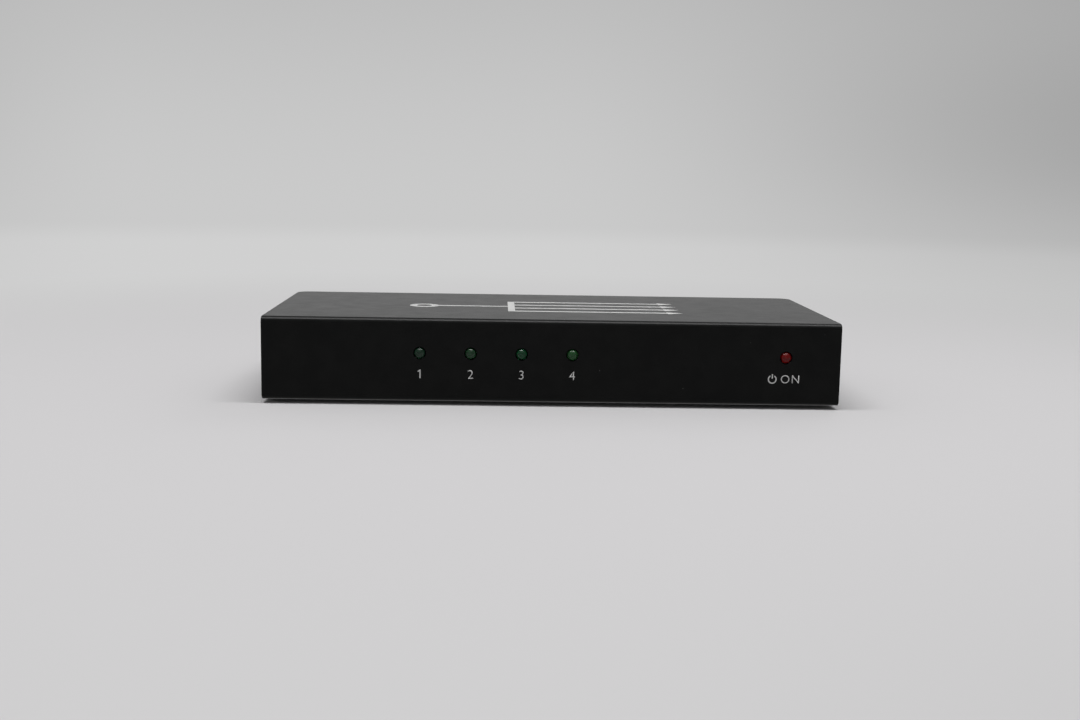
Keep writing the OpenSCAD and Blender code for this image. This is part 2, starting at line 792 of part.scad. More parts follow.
module heat_sink() color([0.5, 0.5, 0.52])
    on_top(chip_share, chip_h + pad_t)
        across(0, sink_w)
            polygon(concat(
                [[-sink_w / 2, 0], [sink_w / 2, 0]],
                [for (i = [sink_fins - 1:-1:0])
                    let (step = sink_w / (sink_fins - 0.5), y = -sink_w / 2 + i * step)
                    each [
                        if (i < sink_fins - 1) [y + step / 2, sink_base_t],
                        [y + step / 2, sink_h],
                        [y, sink_h],
                        if (i > 0) [y, sink_base_t]]]));

module voltage_regulator() color([0.09, 0.09, 0.095])
    on_top(regulator_share) {
        translate([0, 0, regulator_h * 0.06])
            block(regulator_w, regulator_d, regulator_h * 0.94, regulator_h * 0.1);
        translate([0, regulator_d / 2, 0])
            block(regulator_w * 0.46, regulator_d, regulator_h * 0.16);
        for (i = [-1:1])
            translate([i * regulator_w * 0.35, -regulator_d / 2, 0])
                block(regulator_w * 0.11, regulator_d * 0.9, regulator_h * 0.16);
    }

module power_inductor() color([0.22, 0.22, 0.23])
    on_top(coil_share)
        difference() {
            block(coil_w, coil_w, coil_h, coil_w * 0.22);
            translate([0, 0, coil_h * 0.55])
                cylinder(h = coil_h, d = coil_w * 0.8);
        }

module inductor_core() color([0.3, 0.3, 0.31])
    on_top(coil_share, coil_h * 0.55)
        cylinder(h = coil_h * 0.4, d = coil_w * 0.7);

module clock_crystal() color([0.75, 0.75, 0.76])
    on_top(crystal_share) {
        block(crystal_l, crystal_w, crystal_h * 0.15, crystal_w * 0.49);
        block(crystal_l * 0.93, crystal_w * 0.84, crystal_h, crystal_w * 0.41);
    }

module capacitor_bases() color([0.07, 0.07, 0.07])
    for (share = can_shares)
        on_top(share)
            linear_extrude(can_h * 0.18)
                polygon([for (share = can_base_shares) share * can_d]);

// A can with the rolled groove near its foot
module capacitor_cans() color([0.75, 0.75, 0.76])
    for (share = can_shares)
        on_top(share, can_h * 0.18)
            rotate_extrude()
                polygon([
                    [0, 0], [can_d / 2, 0], [can_d / 2, can_h * 0.1], [can_d * 0.45, can_h * 0.16],
                    [can_d / 2, can_h * 0.22], [can_d / 2, can_h * 0.76], [can_d * 0.46, can_h * 0.82],
                    [0, can_h * 0.82]]);

module memory_chip() color([0.08, 0.08, 0.085])
    on_top(memory_share) {
        translate([0, 0, memory_h * 0.08])
            block(memory_w, memory_d, memory_h * 0.92);
        for (side = [-1, 1], i = [0:3])
            translate([(i - 1.5) * memory_w / 4, side * memory_d * 0.62, 0])
                block(memory_w * 0.09, memory_d * 0.4, memory_h * 0.14);
    }

module power_diode() color([0.08, 0.08, 0.085])
    on_top(diode_share) {
        translate([0, 0, diode_h * 0.05])
            block(diode_l, diode_w, diode_h * 0.95, diode_w * 0.06);
        block(diode_l * 1.2, diode_w * 0.55, diode_h * 0.12);
    }

module surge_arrays() color([0.08, 0.08, 0.085])
    for (x = socket_xs, side = [-1, 1])
        translate([x + side * array_spread, array_y, board_top_z])
            block(array_w, array_d, array_h, array_d * 0.1);

module chip_resistors() color([0.1, 0.1, 0.11])
    for (x = socket_xs, i = [0:resistors_each - 1])
        translate([x + (i - (resistors_each - 1) / 2) * resistor_w * 3, resistor_y, board_top_z])
            block(resistor_w, resistor_l, resistor_h);

wrap_cover();
rear_frame();
rubber_feet();
case_screws();
circuit_board();
board_spacers();
board_screws();
input_socket_shell();
input_socket_core();
input_socket_contacts();
output_socket_1_shell();
output_socket_1_core();
output_socket_1_contacts();
output_socket_2_shell();
output_socket_2_core();
output_socket_2_contacts();
output_socket_3_shell();
output_socket_3_core();
output_socket_3_contacts();
output_socket_4_shell();
output_socket_4_core();
output_socket_4_contacts();
dc_jack_housing();
dc_jack_center_pin();
dc_jack_spring_contact();
dc_jack_switch_contact();
output_led_1();
output_led_2();
output_led_3();
output_led_4();
power_led();
led_leads();
splitter_chip();
splitter_chip_leads();
thermal_pad();
heat_sink();
voltage_regulator();
power_inductor();
inductor_core();
clock_crystal();
capacitor_cans();
capacitor_bases();
memory_chip();
power_diode();
surge_arrays();
chip_resistors();
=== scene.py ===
"""A video splitter with one input and four outputs, dressed for close views from every side.

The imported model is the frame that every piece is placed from. Lengths are in metres, and MM turns
the sizes that a maker would state in millimetres into them. +X runs to the right and +Y runs to the
rear when the row of lights faces the viewer. HAIR is the length below which two places are the same,
OVERRUN is how far a cutter passes what it cuts, and SQUARE is how much of a unit vector has to lie
along an axis for an edge or a face to count as square to it.
"""

import json
import logging
import math
from contextlib import contextmanager
from dataclasses import dataclass, field, replace
from enum import Enum
from typing import Any, Callable, Iterator

import bmesh
import bpy
from mathutils import Matrix, Vector


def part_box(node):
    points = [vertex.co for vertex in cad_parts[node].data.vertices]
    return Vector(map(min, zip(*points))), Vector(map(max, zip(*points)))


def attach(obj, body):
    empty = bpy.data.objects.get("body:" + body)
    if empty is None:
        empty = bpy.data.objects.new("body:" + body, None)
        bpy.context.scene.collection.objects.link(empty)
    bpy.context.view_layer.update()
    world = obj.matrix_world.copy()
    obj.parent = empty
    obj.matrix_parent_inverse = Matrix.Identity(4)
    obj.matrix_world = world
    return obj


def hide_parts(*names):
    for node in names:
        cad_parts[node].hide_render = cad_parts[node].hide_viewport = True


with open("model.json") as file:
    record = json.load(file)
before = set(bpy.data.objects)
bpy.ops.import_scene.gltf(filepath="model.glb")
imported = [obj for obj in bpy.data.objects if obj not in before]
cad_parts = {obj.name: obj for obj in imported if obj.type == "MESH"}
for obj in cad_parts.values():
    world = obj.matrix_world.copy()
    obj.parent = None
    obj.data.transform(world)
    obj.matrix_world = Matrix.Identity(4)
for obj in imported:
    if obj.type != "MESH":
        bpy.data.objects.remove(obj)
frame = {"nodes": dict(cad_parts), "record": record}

MM = 0.001
HAIR = 0.001 * MM
OVERRUN = MM
SQUARE = 0.9
ROOT = "root"
log = logging.getLogger("splitter")

Colour = tuple[float, float, float]
Place = tuple[float, float, float]
Point = tuple[float, float]
Test = Callable[[Vector, Vector], bool]


# Boxes of the frame's nodes


@dataclass(frozen=True)
class NodeBox:
    """The box round one CAD node."""

    low: Vector
    high: Vector

    @classmethod
    def of(cls, node: str) -> "NodeBox":
        """Reads a node's box from the frame.

        Args:
            node: The CAD node's name.

        Returns:
            The node's box at rest.
        """
        return cls(*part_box(node))

    @property
    def middle(self) -> Vector:
        """The middle of the box."""
        return (self.low + self.high) / 2

    @property
    def size(self) -> Vector:
        """The box's width, depth and height."""
        return self.high - self.low


# Modelling by operators


class Facing(Enum):
    """The side of the case that a flat piece looks out of."""

    FRONT = "front"
    REAR = "rear"
    TOP = "top"

    @property
    def turn(self) -> Matrix:
        """Works out the turn that a drawing in X and Y needs to lie on this side.

        Returns:
            The turn that leaves it upright for someone who faces the side.
        """
        if self is Facing.TOP:
            return Matrix.Identity(4)
        upright = Matrix.Rotation(math.pi / 2, 4, "X")
        if self is Facing.FRONT:
            return upright
        return Matrix.Rotation(math.pi, 4, "Z") @ upright


class Axis(Enum):
    """The way that a round bar points from its foot."""

    UP = (0, 0, 1)
    BACK = (0, 1, 0)

    @property
    def turn(self) -> Place:
        """The turn about X, Y and Z that takes an upright bar to this way."""
        return (0, 0, 0) if self is Axis.UP else (-math.pi / 2, 0, 0)


class Part(Enum):
    """The parts of a mesh that are selected one by one."""

    CORNERS = "VERT"
    EDGES = "EDGE"
    FACES = "FACE"


class Fit(Enum):
    """What one solid does to another."""

    CUT = "DIFFERENCE"
    WELD = "UNION"


def near(a: float, b: float, room: float = 2 * HAIR) -> bool:
    """Tells whether two lengths are the same to within a hair."""
    return abs(a - b) < room


def select_only(piece: bpy.types.Object) -> None:
    """Makes one object the only selected one, and the active one.

    Args:
        piece: The object.
    """
    bpy.ops.object.select_all(action="DESELECT")
    piece.select_set(True)
    bpy.context.view_layer.objects.active = piece


@contextmanager
def editing(piece: bpy.types.Object) -> Iterator[None]:
    """Keeps a piece in edit mode for the length of a block, with nothing selected at its start.

    Args:
        piece: The object to edit.

    Yields:
        Nothing.
    """
    select_only(piece)
    bpy.ops.object.mode_set(mode="EDIT")
    bpy.ops.mesh.select_all(action="DESELECT")
    yield
    bpy.ops.object.mode_set(mode="OBJECT")


def pick(piece: bpy.types.Object, kind: Part, test: Callable[[Any], bool]) -> None:
    """Selects what passes a test, in edit mode.

    Args:
        piece: The object in edit mode.
        kind: Which parts of the mesh are tested.
        test: Takes a vertex, an edge or a face.
    """
    bpy.ops.mesh.select_mode(type=kind.value)
    bpy.ops.mesh.select_all(action="DESELECT")
    mesh = bmesh.from_edit_mesh(piece.data)
    mesh.normal_update()
    parts = {Part.CORNERS: mesh.verts, Part.EDGES: mesh.edges, Part.FACES: mesh.faces}
    for part in parts[kind]:
        part.select_set(test(part))
    mesh.select_flush_mode()
    bmesh.update_edit_mesh(piece.data)


def pick_edges(piece: bpy.types.Object, test: Test, turn: float = -1.0) -> None:
    """Selects the edges that pass a test, in edit mode.

    Args:
        piece: The object in edit mode.
        test: Takes an edge's middle and its direction.
        turn: The least angle in radians between the edge's two faces.
    """
    def passes(edge: Any) -> bool:
        """Tells whether an edge turns far enough and passes the test."""
        a, b = (corner.co for corner in edge.verts)
        return edge.calc_face_angle(0.0) > turn and test((a + b) / 2, (b - a).normalized())

    pick(piece, Part.EDGES, passes)


def pick_faces(piece: bpy.types.Object, test: Test) -> None:
    """Selects the faces that pass a test of their middle and their normal."""
    pick(piece, Part.FACES, lambda face: test(face.calc_center_median(), face.normal))


def pick_corners(piece: bpy.types.Object, test: Callable[[Vector], bool]) -> None:
    """Selects the vertices that pass a test of their place."""
    pick(piece, Part.CORNERS, lambda corner: test(corner.co))


def extrude(x: float = 0.0, y: float = 0.0, z: float = 0.0) -> None:
    """Extrudes what is selected by a distance along each axis."""
    bpy.ops.mesh.extrude_region_move(TRANSFORM_OT_translate={"value": (x, y, z)})


def resize(about: Vector, x: float = 1.0, y: float = 1.0, z: float = 1.0) -> None:
    """Scales what is selected about a point."""
    bpy.ops.transform.resize(value=(x, y, z), center_override=tuple(about))


def fold(centre: Vector, axis: Place, degrees: float, steps: int = 8) -> None:
    """Spins the selected edges round an axis, as a press brake bends the edge of a sheet.

    Args:
        centre: A point on the axis.
        axis: The axis's direction.
        degrees: The angle, by the right-hand rule.
        steps: The number of faces round the bend.
    """
    bpy.ops.mesh.spin(steps=steps, angle=-math.radians(degrees), center=tuple(centre), axis=axis)


def bisect(point: Vector, outward: Vector, **settings: bool) -> None:
    """Splits the whole mesh in edit mode along a plane.

    Args:
        point: A point on the plane.
        outward: The plane's normal.
        **settings: What is closed or cleared at the plane.
    """
    bpy.ops.mesh.select_all(action="SELECT")
    bpy.ops.mesh.bisect(plane_co=tuple(point), plane_no=tuple(outward), threshold=HAIR, **settings)


def named(name: str) -> bpy.types.Object:
    """Names the object that an operator has just added.

    Args:
        name: The name of the object and its mesh.

    Returns:
        The object.
    """
    piece = bpy.context.view_layer.objects.active
    piece.name = name
    piece.data.name = name
    return piece


def settle(piece: bpy.types.Object) -> None:
    """Moves an object's place, turn and scale into its mesh."""
    select_only(piece)
    bpy.ops.object.transform_apply(location=True, rotation=True, scale=True)


def sheet(
    name: str, middle: Vector, width: float, depth: float, turn: Place = (0, 0, 0)
) -> bpy.types.Object:
    """Adds a flat rectangle, as the start of a folded sheet or of a printed stroke.

    Args:
        name: The piece's name.
        middle: Its middle.
        width: Its size along X, before it is turned.
        depth: Its size along Y, before it is turned.
        turn: Its turn about X, Y and Z in radians.

    Returns:
        The new object, with its place in its mesh.
    """
    bpy.ops.object.select_all(action="DESELECT")
    bpy.ops.mesh.primitive_plane_add(size=1, location=middle, rotation=turn)
    piece = named(name)
    piece.scale = (width, depth, 1)
    settle(piece)
    return piece


def block(name: str, low: Vector, high: Vector) -> bpy.types.Object:
    """Adds a cube that fills a box, as the start of a piece.

    Args:
        name: The piece's name.
        low: The box's lowest corner.
        high: The box's highest corner.

    Returns:
        The new object, with its place in its mesh.
    """
    bpy.ops.object.select_all(action="DESELECT")
    bpy.ops.mesh.primitive_cube_add(size=1, location=(low + high) / 2, scale=high - low)
    piece = named(name)
    settle(piece)
    return piece


def rod(
    name: str, foot: Vector, radius: float, length: float, axis: Axis = Axis.UP,
    sides: int = 64, tip_radius: float | None = None,
) -> bpy.types.Object:
    """Adds a round bar or a cone, as the start of a turned piece.

    Args:
        name: The piece's name.
        foot: The middle of its lower end.
        radius: The radius at the foot.
        length: Its length from the foot along the axis.
        axis: The way that it points.
        sides: The number of faces round it.
        tip_radius: The radius at the other end, where it isn't the same.

    Returns:
        The new object, with its place in its mesh.
    """
    bpy.ops.object.select_all(action="DESELECT")
    bpy.ops.mesh.primitive_cone_add(
        vertices=sides, radius1=radius, radius2=radius if tip_radius is None else tip_radius,
        depth=length, location=foot + Vector(axis.value) * length / 2, rotation=axis.turn,
    )
    piece = named(name)
    settle(piece)
    return piece


def change(piece: bpy.types.Object, kind: str, **settings: Any) -> None:
    """Adds a modifier to a piece and applies it.

    Args:
        piece: The piece.
        kind: The modifier's type.
        **settings: The modifier's own settings.
    """
    select_only(piece)
    modifier = piece.modifiers.new(kind.lower(), kind)
    for name, value in settings.items():
        setattr(modifier, name, value)
    bpy.ops.object.modifier_apply(modifier=modifier.name)


def combine(piece: bpy.types.Object, fit: Fit, *others: bpy.types.Object) -> None:
    """Changes a piece by each of several solids in turn, and removes them.

    Args:
        piece: The piece.
        fit: What each solid does to it.
        *others: The solids.
    """
    for other in others:
        change(piece, "BOOLEAN", operation=fit.value, solver="EXACT", object=other)
        bpy.data.objects.remove(other)


def cut(piece: bpy.types.Object, *cutters: bpy.types.Object) -> None:
    """Cuts one or more solids out of a piece and removes them."""
    combine(piece, Fit.CUT, *cutters)


def weld(piece: bpy.types.Object, *others: bpy.types.Object) -> None:
    """Makes one solid of a piece and others that meet it."""
    combine(piece, Fit.WELD, *others)


def gather(piece: bpy.types.Object, *others: bpy.types.Object) -> bpy.types.Object:
    """Joins separate solids into one object.

    Args:
        piece: The object that stays.
        *others: The objects that go into it.

    Returns:
        The object that stays.
    """
    select_only(piece)
    for other in others:
        other.select_set(True)
    bpy.ops.object.join()
    return piece


def soften(
    piece: bpy.types.Object, width: float, segments: int = 3, degrees: float = 40.0, clamp: bool = True
) -> None:
    """Rounds a piece's sharp edges, as paint, plating or a mould does.

    Args:
        piece: The piece.
        width: How far the rounding reaches from the edge.
        segments: The number of faces across it.
        degrees: The angle from which an edge is sharp.
        clamp: Whether short edges hold the width back.
    """
    change(
        piece, "BEVEL", width=width, segments=segments, limit_method="ANGLE",
        angle_limit=math.radians(degrees), use_clamp_overlap=clamp,
    )


def ease_rim(piece: bpy.types.Object, width: float, low: Vector, high: Vector) -> None:
    """Rounds the sharp edges that lie within a box, such as the rim of a hole.

    Args:
        piece: The piece.
        width: How far the rounding reaches from the edge.
        low: The box's lowest corner.
        high: The box's highest corner.
    """
    def inside(middle: Vector, _: Vector) -> bool:
        """Tells whether an edge lies within the box."""
        return all(a < m < b for a, m, b in zip(low, middle, high))

    with editing(piece):
        pick_edges(piece, inside, math.radians(50))
        bpy.ops.mesh.bevel(offset=width, segments=2, affect="EDGES", clamp_overlap=False)


def shade(piece: bpy.types.Object, degrees: float = 32.0) -> None:
    """Shades a piece smoothly across all but its sharp edges, and keeps its large faces flat.

    Args:
        piece: The piece.
        degrees: The angle from which an edge is sharp.
    """
    select_only(piece)
    bpy.ops.object.shade_smooth_by_angle(angle=math.radians(degrees))
    change(piece, "WEIGHTED_NORMAL", mode="FACE_AREA", weight=50, keep_sharp=True)


def heal(piece: bpy.types.Object) -> None:
    """Merges a piece's doubled corners and turns its faces outwards.

    Args:
        piece: The piece.
    """
    with editing(piece):
        bpy.ops.mesh.select_all(action="SELECT")
        bpy.ops.mesh.remove_doubles(threshold=HAIR)
        bpy.ops.mesh.dissolve_degenerate(threshold=HAIR)
        bpy.ops.mesh.normals_make_consistent(inside=False)


def copied(piece: bpy.types.Object, name: str, shift: Vector) -> bpy.types.Object:
    """Copies a piece with a mesh of its own.

    Args:
        piece: The piece to copy.
        name: The copy's name.
        shift: How far the copy stands from the piece.

    Returns:
        The copy, with its place in its mesh.
    """
    select_only(piece)
    bpy.ops.object.duplicate(linked=False)
    twin = named(name)
    twin.location = shift
    settle(twin)
    return twin


# Finishes


class Graph:
    """A node tree that is built in short calls."""

    def __init__(self, tree: bpy.types.NodeTree) -> None:
        """Starts with an empty tree."""
        self.tree = tree
        self.tree.nodes.clear()

    def add(self, kind: str, feeds: dict[str | int, Any] | None = None, **settings: Any) -> bpy.types.Node:
        """Adds a node.

        Args:
            kind: The node's type.
            feeds: A value or another node's output for each input, by name or number.
            **settings: The node's own settings.

        Returns:
            The new node.
        """
        node = self.tree.nodes.new(kind)
        for name, value in settings.items():
            setattr(node, name, value)
        for name, value in (feeds or {}).items():
            self.feed(node.inputs[name], value)
        return node

    def feed(self, socket: bpy.types.NodeSocket, value: Any) -> None:
        """Links an output to an input, or sets the input's own value.

        Args:
            socket: The input.
            value: Another node's output, or a value.
        """
        if isinstance(value, bpy.types.NodeSocket):
            self.tree.links.new(value, socket)
        elif isinstance(value, tuple) and len(value) == 3 and socket.type == "RGBA":
            socket.default_value = (*value, 1.0)
        else:
            socket.default_value = value

    def math(self, operation: str, a: Any, b: Any = 0.0, c: Any = 0.0, clamp: bool = False) -> Any:
        """Adds a Math node.

        Args:
            operation: Its operation.
            a: Its first value or output.
            b: Its second.
            c: Its third.
            clamp: Whether the result stays between 0 and 1.

        Returns:
            The node's output.
        """
        node = self.add("ShaderNodeMath", {0: a, 1: b, 2: c}, operation=operation, use_clamp=clamp)
        return node.outputs[0]

    def place_group(self, group: bpy.types.NodeTree, feeds: dict[str, Any]) -> Any:
        """Adds a node that holds a group.

        Args:
            group: The group.
            feeds: A value or another node's output for each of its inputs.

        Returns:
            The node's outputs, by name.
        """
        node = self.add("ShaderNodeGroup", node_tree=group)
        for name, value in feeds.items():
            self.feed(node.inputs[name], value)
        return node.outputs

    def blend(self, share: Any, a: Any, b: Any) -> Any:
        """Mixes two colours.

        Args:
            share: How much of the second shows.
            a: The first colour.
            b: The second colour.

        Returns:
            The output with the mixed colour.
        """
        node = self.add("ShaderNodeMix", data_type="RGBA")
        for socket, value in zip((node.inputs[0], node.inputs[6], node.inputs[7]), (share, a, b)):
            self.feed(socket, value)
        return node.outputs[2]

    def spread(self, value: Any, low: float, high: float, to_low: float = 0.0, to_high: float = 1.0) -> Any:
        """Maps a range of values to another smoothly.

        Args:
            value: The value or output.
            low: Where the range starts.
            high: Where it ends.
            to_low: What it starts at afterwards.
            to_high: What it ends at afterwards.

        Returns:
            The output.
        """
        node = self.add(
            "ShaderNodeMapRange",
            {"Value": value, "From Min": low, "From Max": high, "To Min": to_low, "To Max": to_high},
            interpolation_type="SMOOTHSTEP",
        )
        return node.outputs[0]


def new_group(name: str, inputs: dict[str, str], outputs: dict[str, str]) -> tuple[Graph, Any, Any]:
    """Makes an empty node group with named sockets.

    Args:
        name: The group's name.
        inputs: Each input's socket type, by name.
        outputs: Each output's socket type, by name.

    Returns:
        The group's graph, its input node's outputs and its output node's inputs.
    """
    tree = bpy.data.node_groups.new(name, "ShaderNodeTree")
    for direction, sockets in (("INPUT", inputs), ("OUTPUT", outputs)):
        for label, kind in sockets.items():
            tree.interface.new_socket(label, in_out=direction, socket_type=kind)
    graph = Graph(tree)
    return graph, graph.add("NodeGroupInput").outputs, graph.add("NodeGroupOutput").inputs


@dataclass
class SharedEffects:
    """The node groups that several finishes use, each built once."""

    slow_share: float = 0.06
    fine_weight: float = 0.4
    tone_span: Point = (0.38, 0.62)
    speck_span: Point = (0.03, 0.075)

    def __post_init__(self) -> None:
        """Builds the groups."""
        self.grain = self._grain()
        self.dust = self._dust()

    def _grain(self) -> bpy.types.NodeTree:
        """Builds the fine grain of a surface, with slower clouds in its tone and its gloss.

        Returns:
            The group. Feature is the grain's size in metres, and Stretch draws it out along an axis.
        """
        graph, given, made = new_group(
            "surface_grain",
            {
                "Place": "NodeSocketVector", "Stretch": "NodeSocketVector", "Feature": "NodeSocketFloat",
                "Colour": "NodeSocketColor", "Second Colour": "NodeSocketColor",
                "Roughness": "NodeSocketFloat", "Gloss Spread": "NodeSocketFloat",
            },
            {"Colour": "NodeSocketColor", "Roughness": "NodeSocketFloat", "Height": "NodeSocketFloat"},
        )
        place = graph.add(
            "ShaderNodeVectorMath", {0: given["Place"], 1: given["Stretch"]}, operation="MULTIPLY"
        ).outputs[0]
        rate = graph.math("DIVIDE", 1.0, given["Feature"])
        slow_rate = graph.math("MULTIPLY", rate, self.slow_share)
        fine, slow = (
            graph.add("ShaderNodeTexNoise", {"Vector": place, "Scale": scale, "Detail": detail}).outputs[0]
            for scale, detail in ((rate, 2.0), (slow_rate, 3.0))
        )
        tone = graph.math(
            "ADD", graph.math("MULTIPLY", fine, self.fine_weight),
            graph.math("MULTIPLY", slow, 1.0 - self.fine_weight),
        )
        share = graph.spread(tone, *self.tone_span)
        graph.feed(made["Colour"], graph.blend(share, given["Colour"], given["Second Colour"]))
        sway = graph.math("MULTIPLY", graph.math("SUBTRACT", slow, 0.5), given["Gloss Spread"])
        graph.feed(made["Roughness"], graph.math("ADD", given["Roughness"], sway, clamp=True))
        graph.feed(made["Height"], fine)
        return graph.tree

    def _dust(self) -> bpy.types.NodeTree:
        """Builds the few pale specks that settle on a dark surface.

        Returns:
            The group. Spacing is the mean distance between specks in metres.
        """
        graph, given, made = new_group(
            "settled_dust",
            {"Place": "NodeSocketVector", "Spacing": "NodeSocketFloat", "Amount": "NodeSocketFloat"},
            {"Mask": "NodeSocketFloat"},
        )
        rate = graph.math("DIVIDE", 1.0, given["Spacing"])
        cells = graph.add("ShaderNodeTexVoronoi", {"Vector": given["Place"], "Scale": rate})
        speck = graph.spread(cells.outputs["Distance"], *self.speck_span, 1.0, 0.0)
        chance = graph.add("ShaderNodeSeparateColor", {0: cells.outputs["Color"]}).outputs[0]
        kept = graph.math("LESS_THAN", chance, given["Amount"])
        graph.feed(made["Mask"], graph.math("MULTIPLY", speck, kept))
        return graph.tree


@dataclass(frozen=True)
class Finish:
    """A finish with a fine grain, for one of the record's material slots.

    Colours are linear. Feature, relief and speck_gap are lengths, dust is the share of the places for
    specks that hold one, and stretch below 1 draws the grain out along that axis.
    """

    slot: str
    colour: Colour
    second: Colour
    roughness: float
    gloss_spread: float = 0.1
    metallic: float = 0.0
    specular: float = 0.5
    feature: float = 0.3 * MM
    relief: float = 0.004 * MM
    stretch: Place = (1.0, 1.0, 1.0)
    dust: float = 0.0
    speck_gap: float = 2.4 * MM
    speck_colour: Colour = (0.07, 0.07, 0.068)

    def material(self, shared: SharedEffects) -> bpy.types.Material:
        """Builds the finish as a material.

        Args:
            shared: The node groups that the finishes share.

        Returns:
            The material, which reads Object coordinates.
        """
        material = bpy.data.materials.new(self.slot)
        material.use_nodes = True
        graph = Graph(material.node_tree)
        place = graph.add("ShaderNodeTexCoord").outputs["Object"]
        grain = graph.place_group(shared.grain, {
            "Place": place, "Stretch": self.stretch, "Feature": self.feature, "Colour": self.colour,
            "Second Colour": self.second, "Roughness": self.roughness, "Gloss Spread": self.gloss_spread,
        })
        colour = self.overlay(graph, shared, place, grain["Colour"])
        bump = graph.add(
            "ShaderNodeBump", {"Strength": 1.0, "Distance": self.relief, "Height": grain["Height"]}
        )
        shader = graph.add("ShaderNodeBsdfPrincipled", {
            "Base Color": colour, "Roughness": grain["Roughness"], "Normal": bump.outputs[0],
            "Metallic": self.metallic, "Specular IOR Level": self.specular,
        })
        self.dress(shader)
        graph.add("ShaderNodeOutputMaterial", {"Surface": shader.outputs[0]})
        return material

    def overlay(self, graph: Graph, shared: SharedEffects, place: Any, colour: Any) -> Any:
        """Lays dust over the grain's colour, where the finish has any.

        Args:
            graph: The material's graph.
            shared: The node groups that the finishes share.
            place: The output with the Object coordinates.
            colour: The output with the grain's colour.

        Returns:
            The output with the finished colour.
        """
        if not self.dust:
            return colour
        specks = graph.place_group(
            shared.dust, {"Place": place, "Spacing": self.speck_gap, "Amount": self.dust}
        )
        return graph.blend(specks["Mask"], colour, self.speck_colour)

    def dress(self, shader: bpy.types.Node) -> None:
        """Sets what only some finishes need on the shader itself, and nothing here."""


@dataclass(frozen=True)
class LensFinish(Finish):
    """Tinted epoxy that lets some light through to the cup inside."""

    transmission: float = 0.3
    ior: float = 1.5

    def dress(self, shader: bpy.types.Node) -> None:
        """Makes the epoxy clear enough to glow at its foot."""
        shader.inputs["Transmission Weight"].default_value = self.transmission
        shader.inputs["IOR"].default_value = self.ior


@dataclass(frozen=True)
class PaintFinish(Finish):
    """Paint on folded sheet, with a painted highlight along the bends that look up, where the overhead
    light would catch them.

    A bend is where the upward part of the normal lies between rise and fall.
    """

    worn: Colour = (0.05, 0.05, 0.05)
    rise: Point = (0.58, 0.68)
    fall: Point = (0.82, 0.9)

    def overlay(self, graph: Graph, shared: SharedEffects, place: Any, colour: Any) -> Any:
        """Lays dust over the paint, and the painted highlight along the upward bends over both.

        Args:
            graph: The material's graph.
            shared: The node groups that the finishes share.
            place: The output with the Object coordinates.
            colour: The output with the grain's colour.

        Returns:
            The output with the finished colour.
        """
        colour = super().overlay(graph, shared, place, colour)
        # Painted highlight: bends whose normal looks partly up are lightened towards worn, in place of the
        # overhead light that they catch
        normal = graph.add("ShaderNodeNewGeometry").outputs["Normal"]
        _, _, up = graph.add("ShaderNodeSeparateXYZ", {0: normal}).outputs
        bend = graph.math("MULTIPLY", graph.spread(up, *self.rise), graph.spread(up, *self.fall, 1.0, 0.0))
        return graph.blend(bend, colour, self.worn)


@dataclass(frozen=True)
class MaskFinish(Finish):
    """Solder mask over copper, whose tracks show as slightly paler lines."""

    track: Colour = (0.035, 0.2, 0.085)
    pitch: float = 1.1 * MM
    track_share: float = 0.16
    length_in_pitches: float = 9
    edge_softness: float = 0.2

    def overlay(self, graph: Graph, shared: SharedEffects, place: Any, colour: Any) -> Any:
        """Draws the tracks below the mask.

        Args:
            graph: The material's graph.
            shared: The node groups that the finishes share.
            place: The output with the Object coordinates.
            colour: The output with the grain's colour.

        Returns:
            The output with the finished colour.
        """
        cells = graph.add("ShaderNodeTexBrick", {
            "Vector": place, "Scale": 1.0, "Row Height": self.pitch,
            "Mortar Size": self.pitch * self.track_share, "Mortar Smooth": self.edge_softness,
            "Brick Width": self.pitch * self.length_in_pitches,
        })
        return graph.blend(cells.outputs["Fac"], colour, self.track)


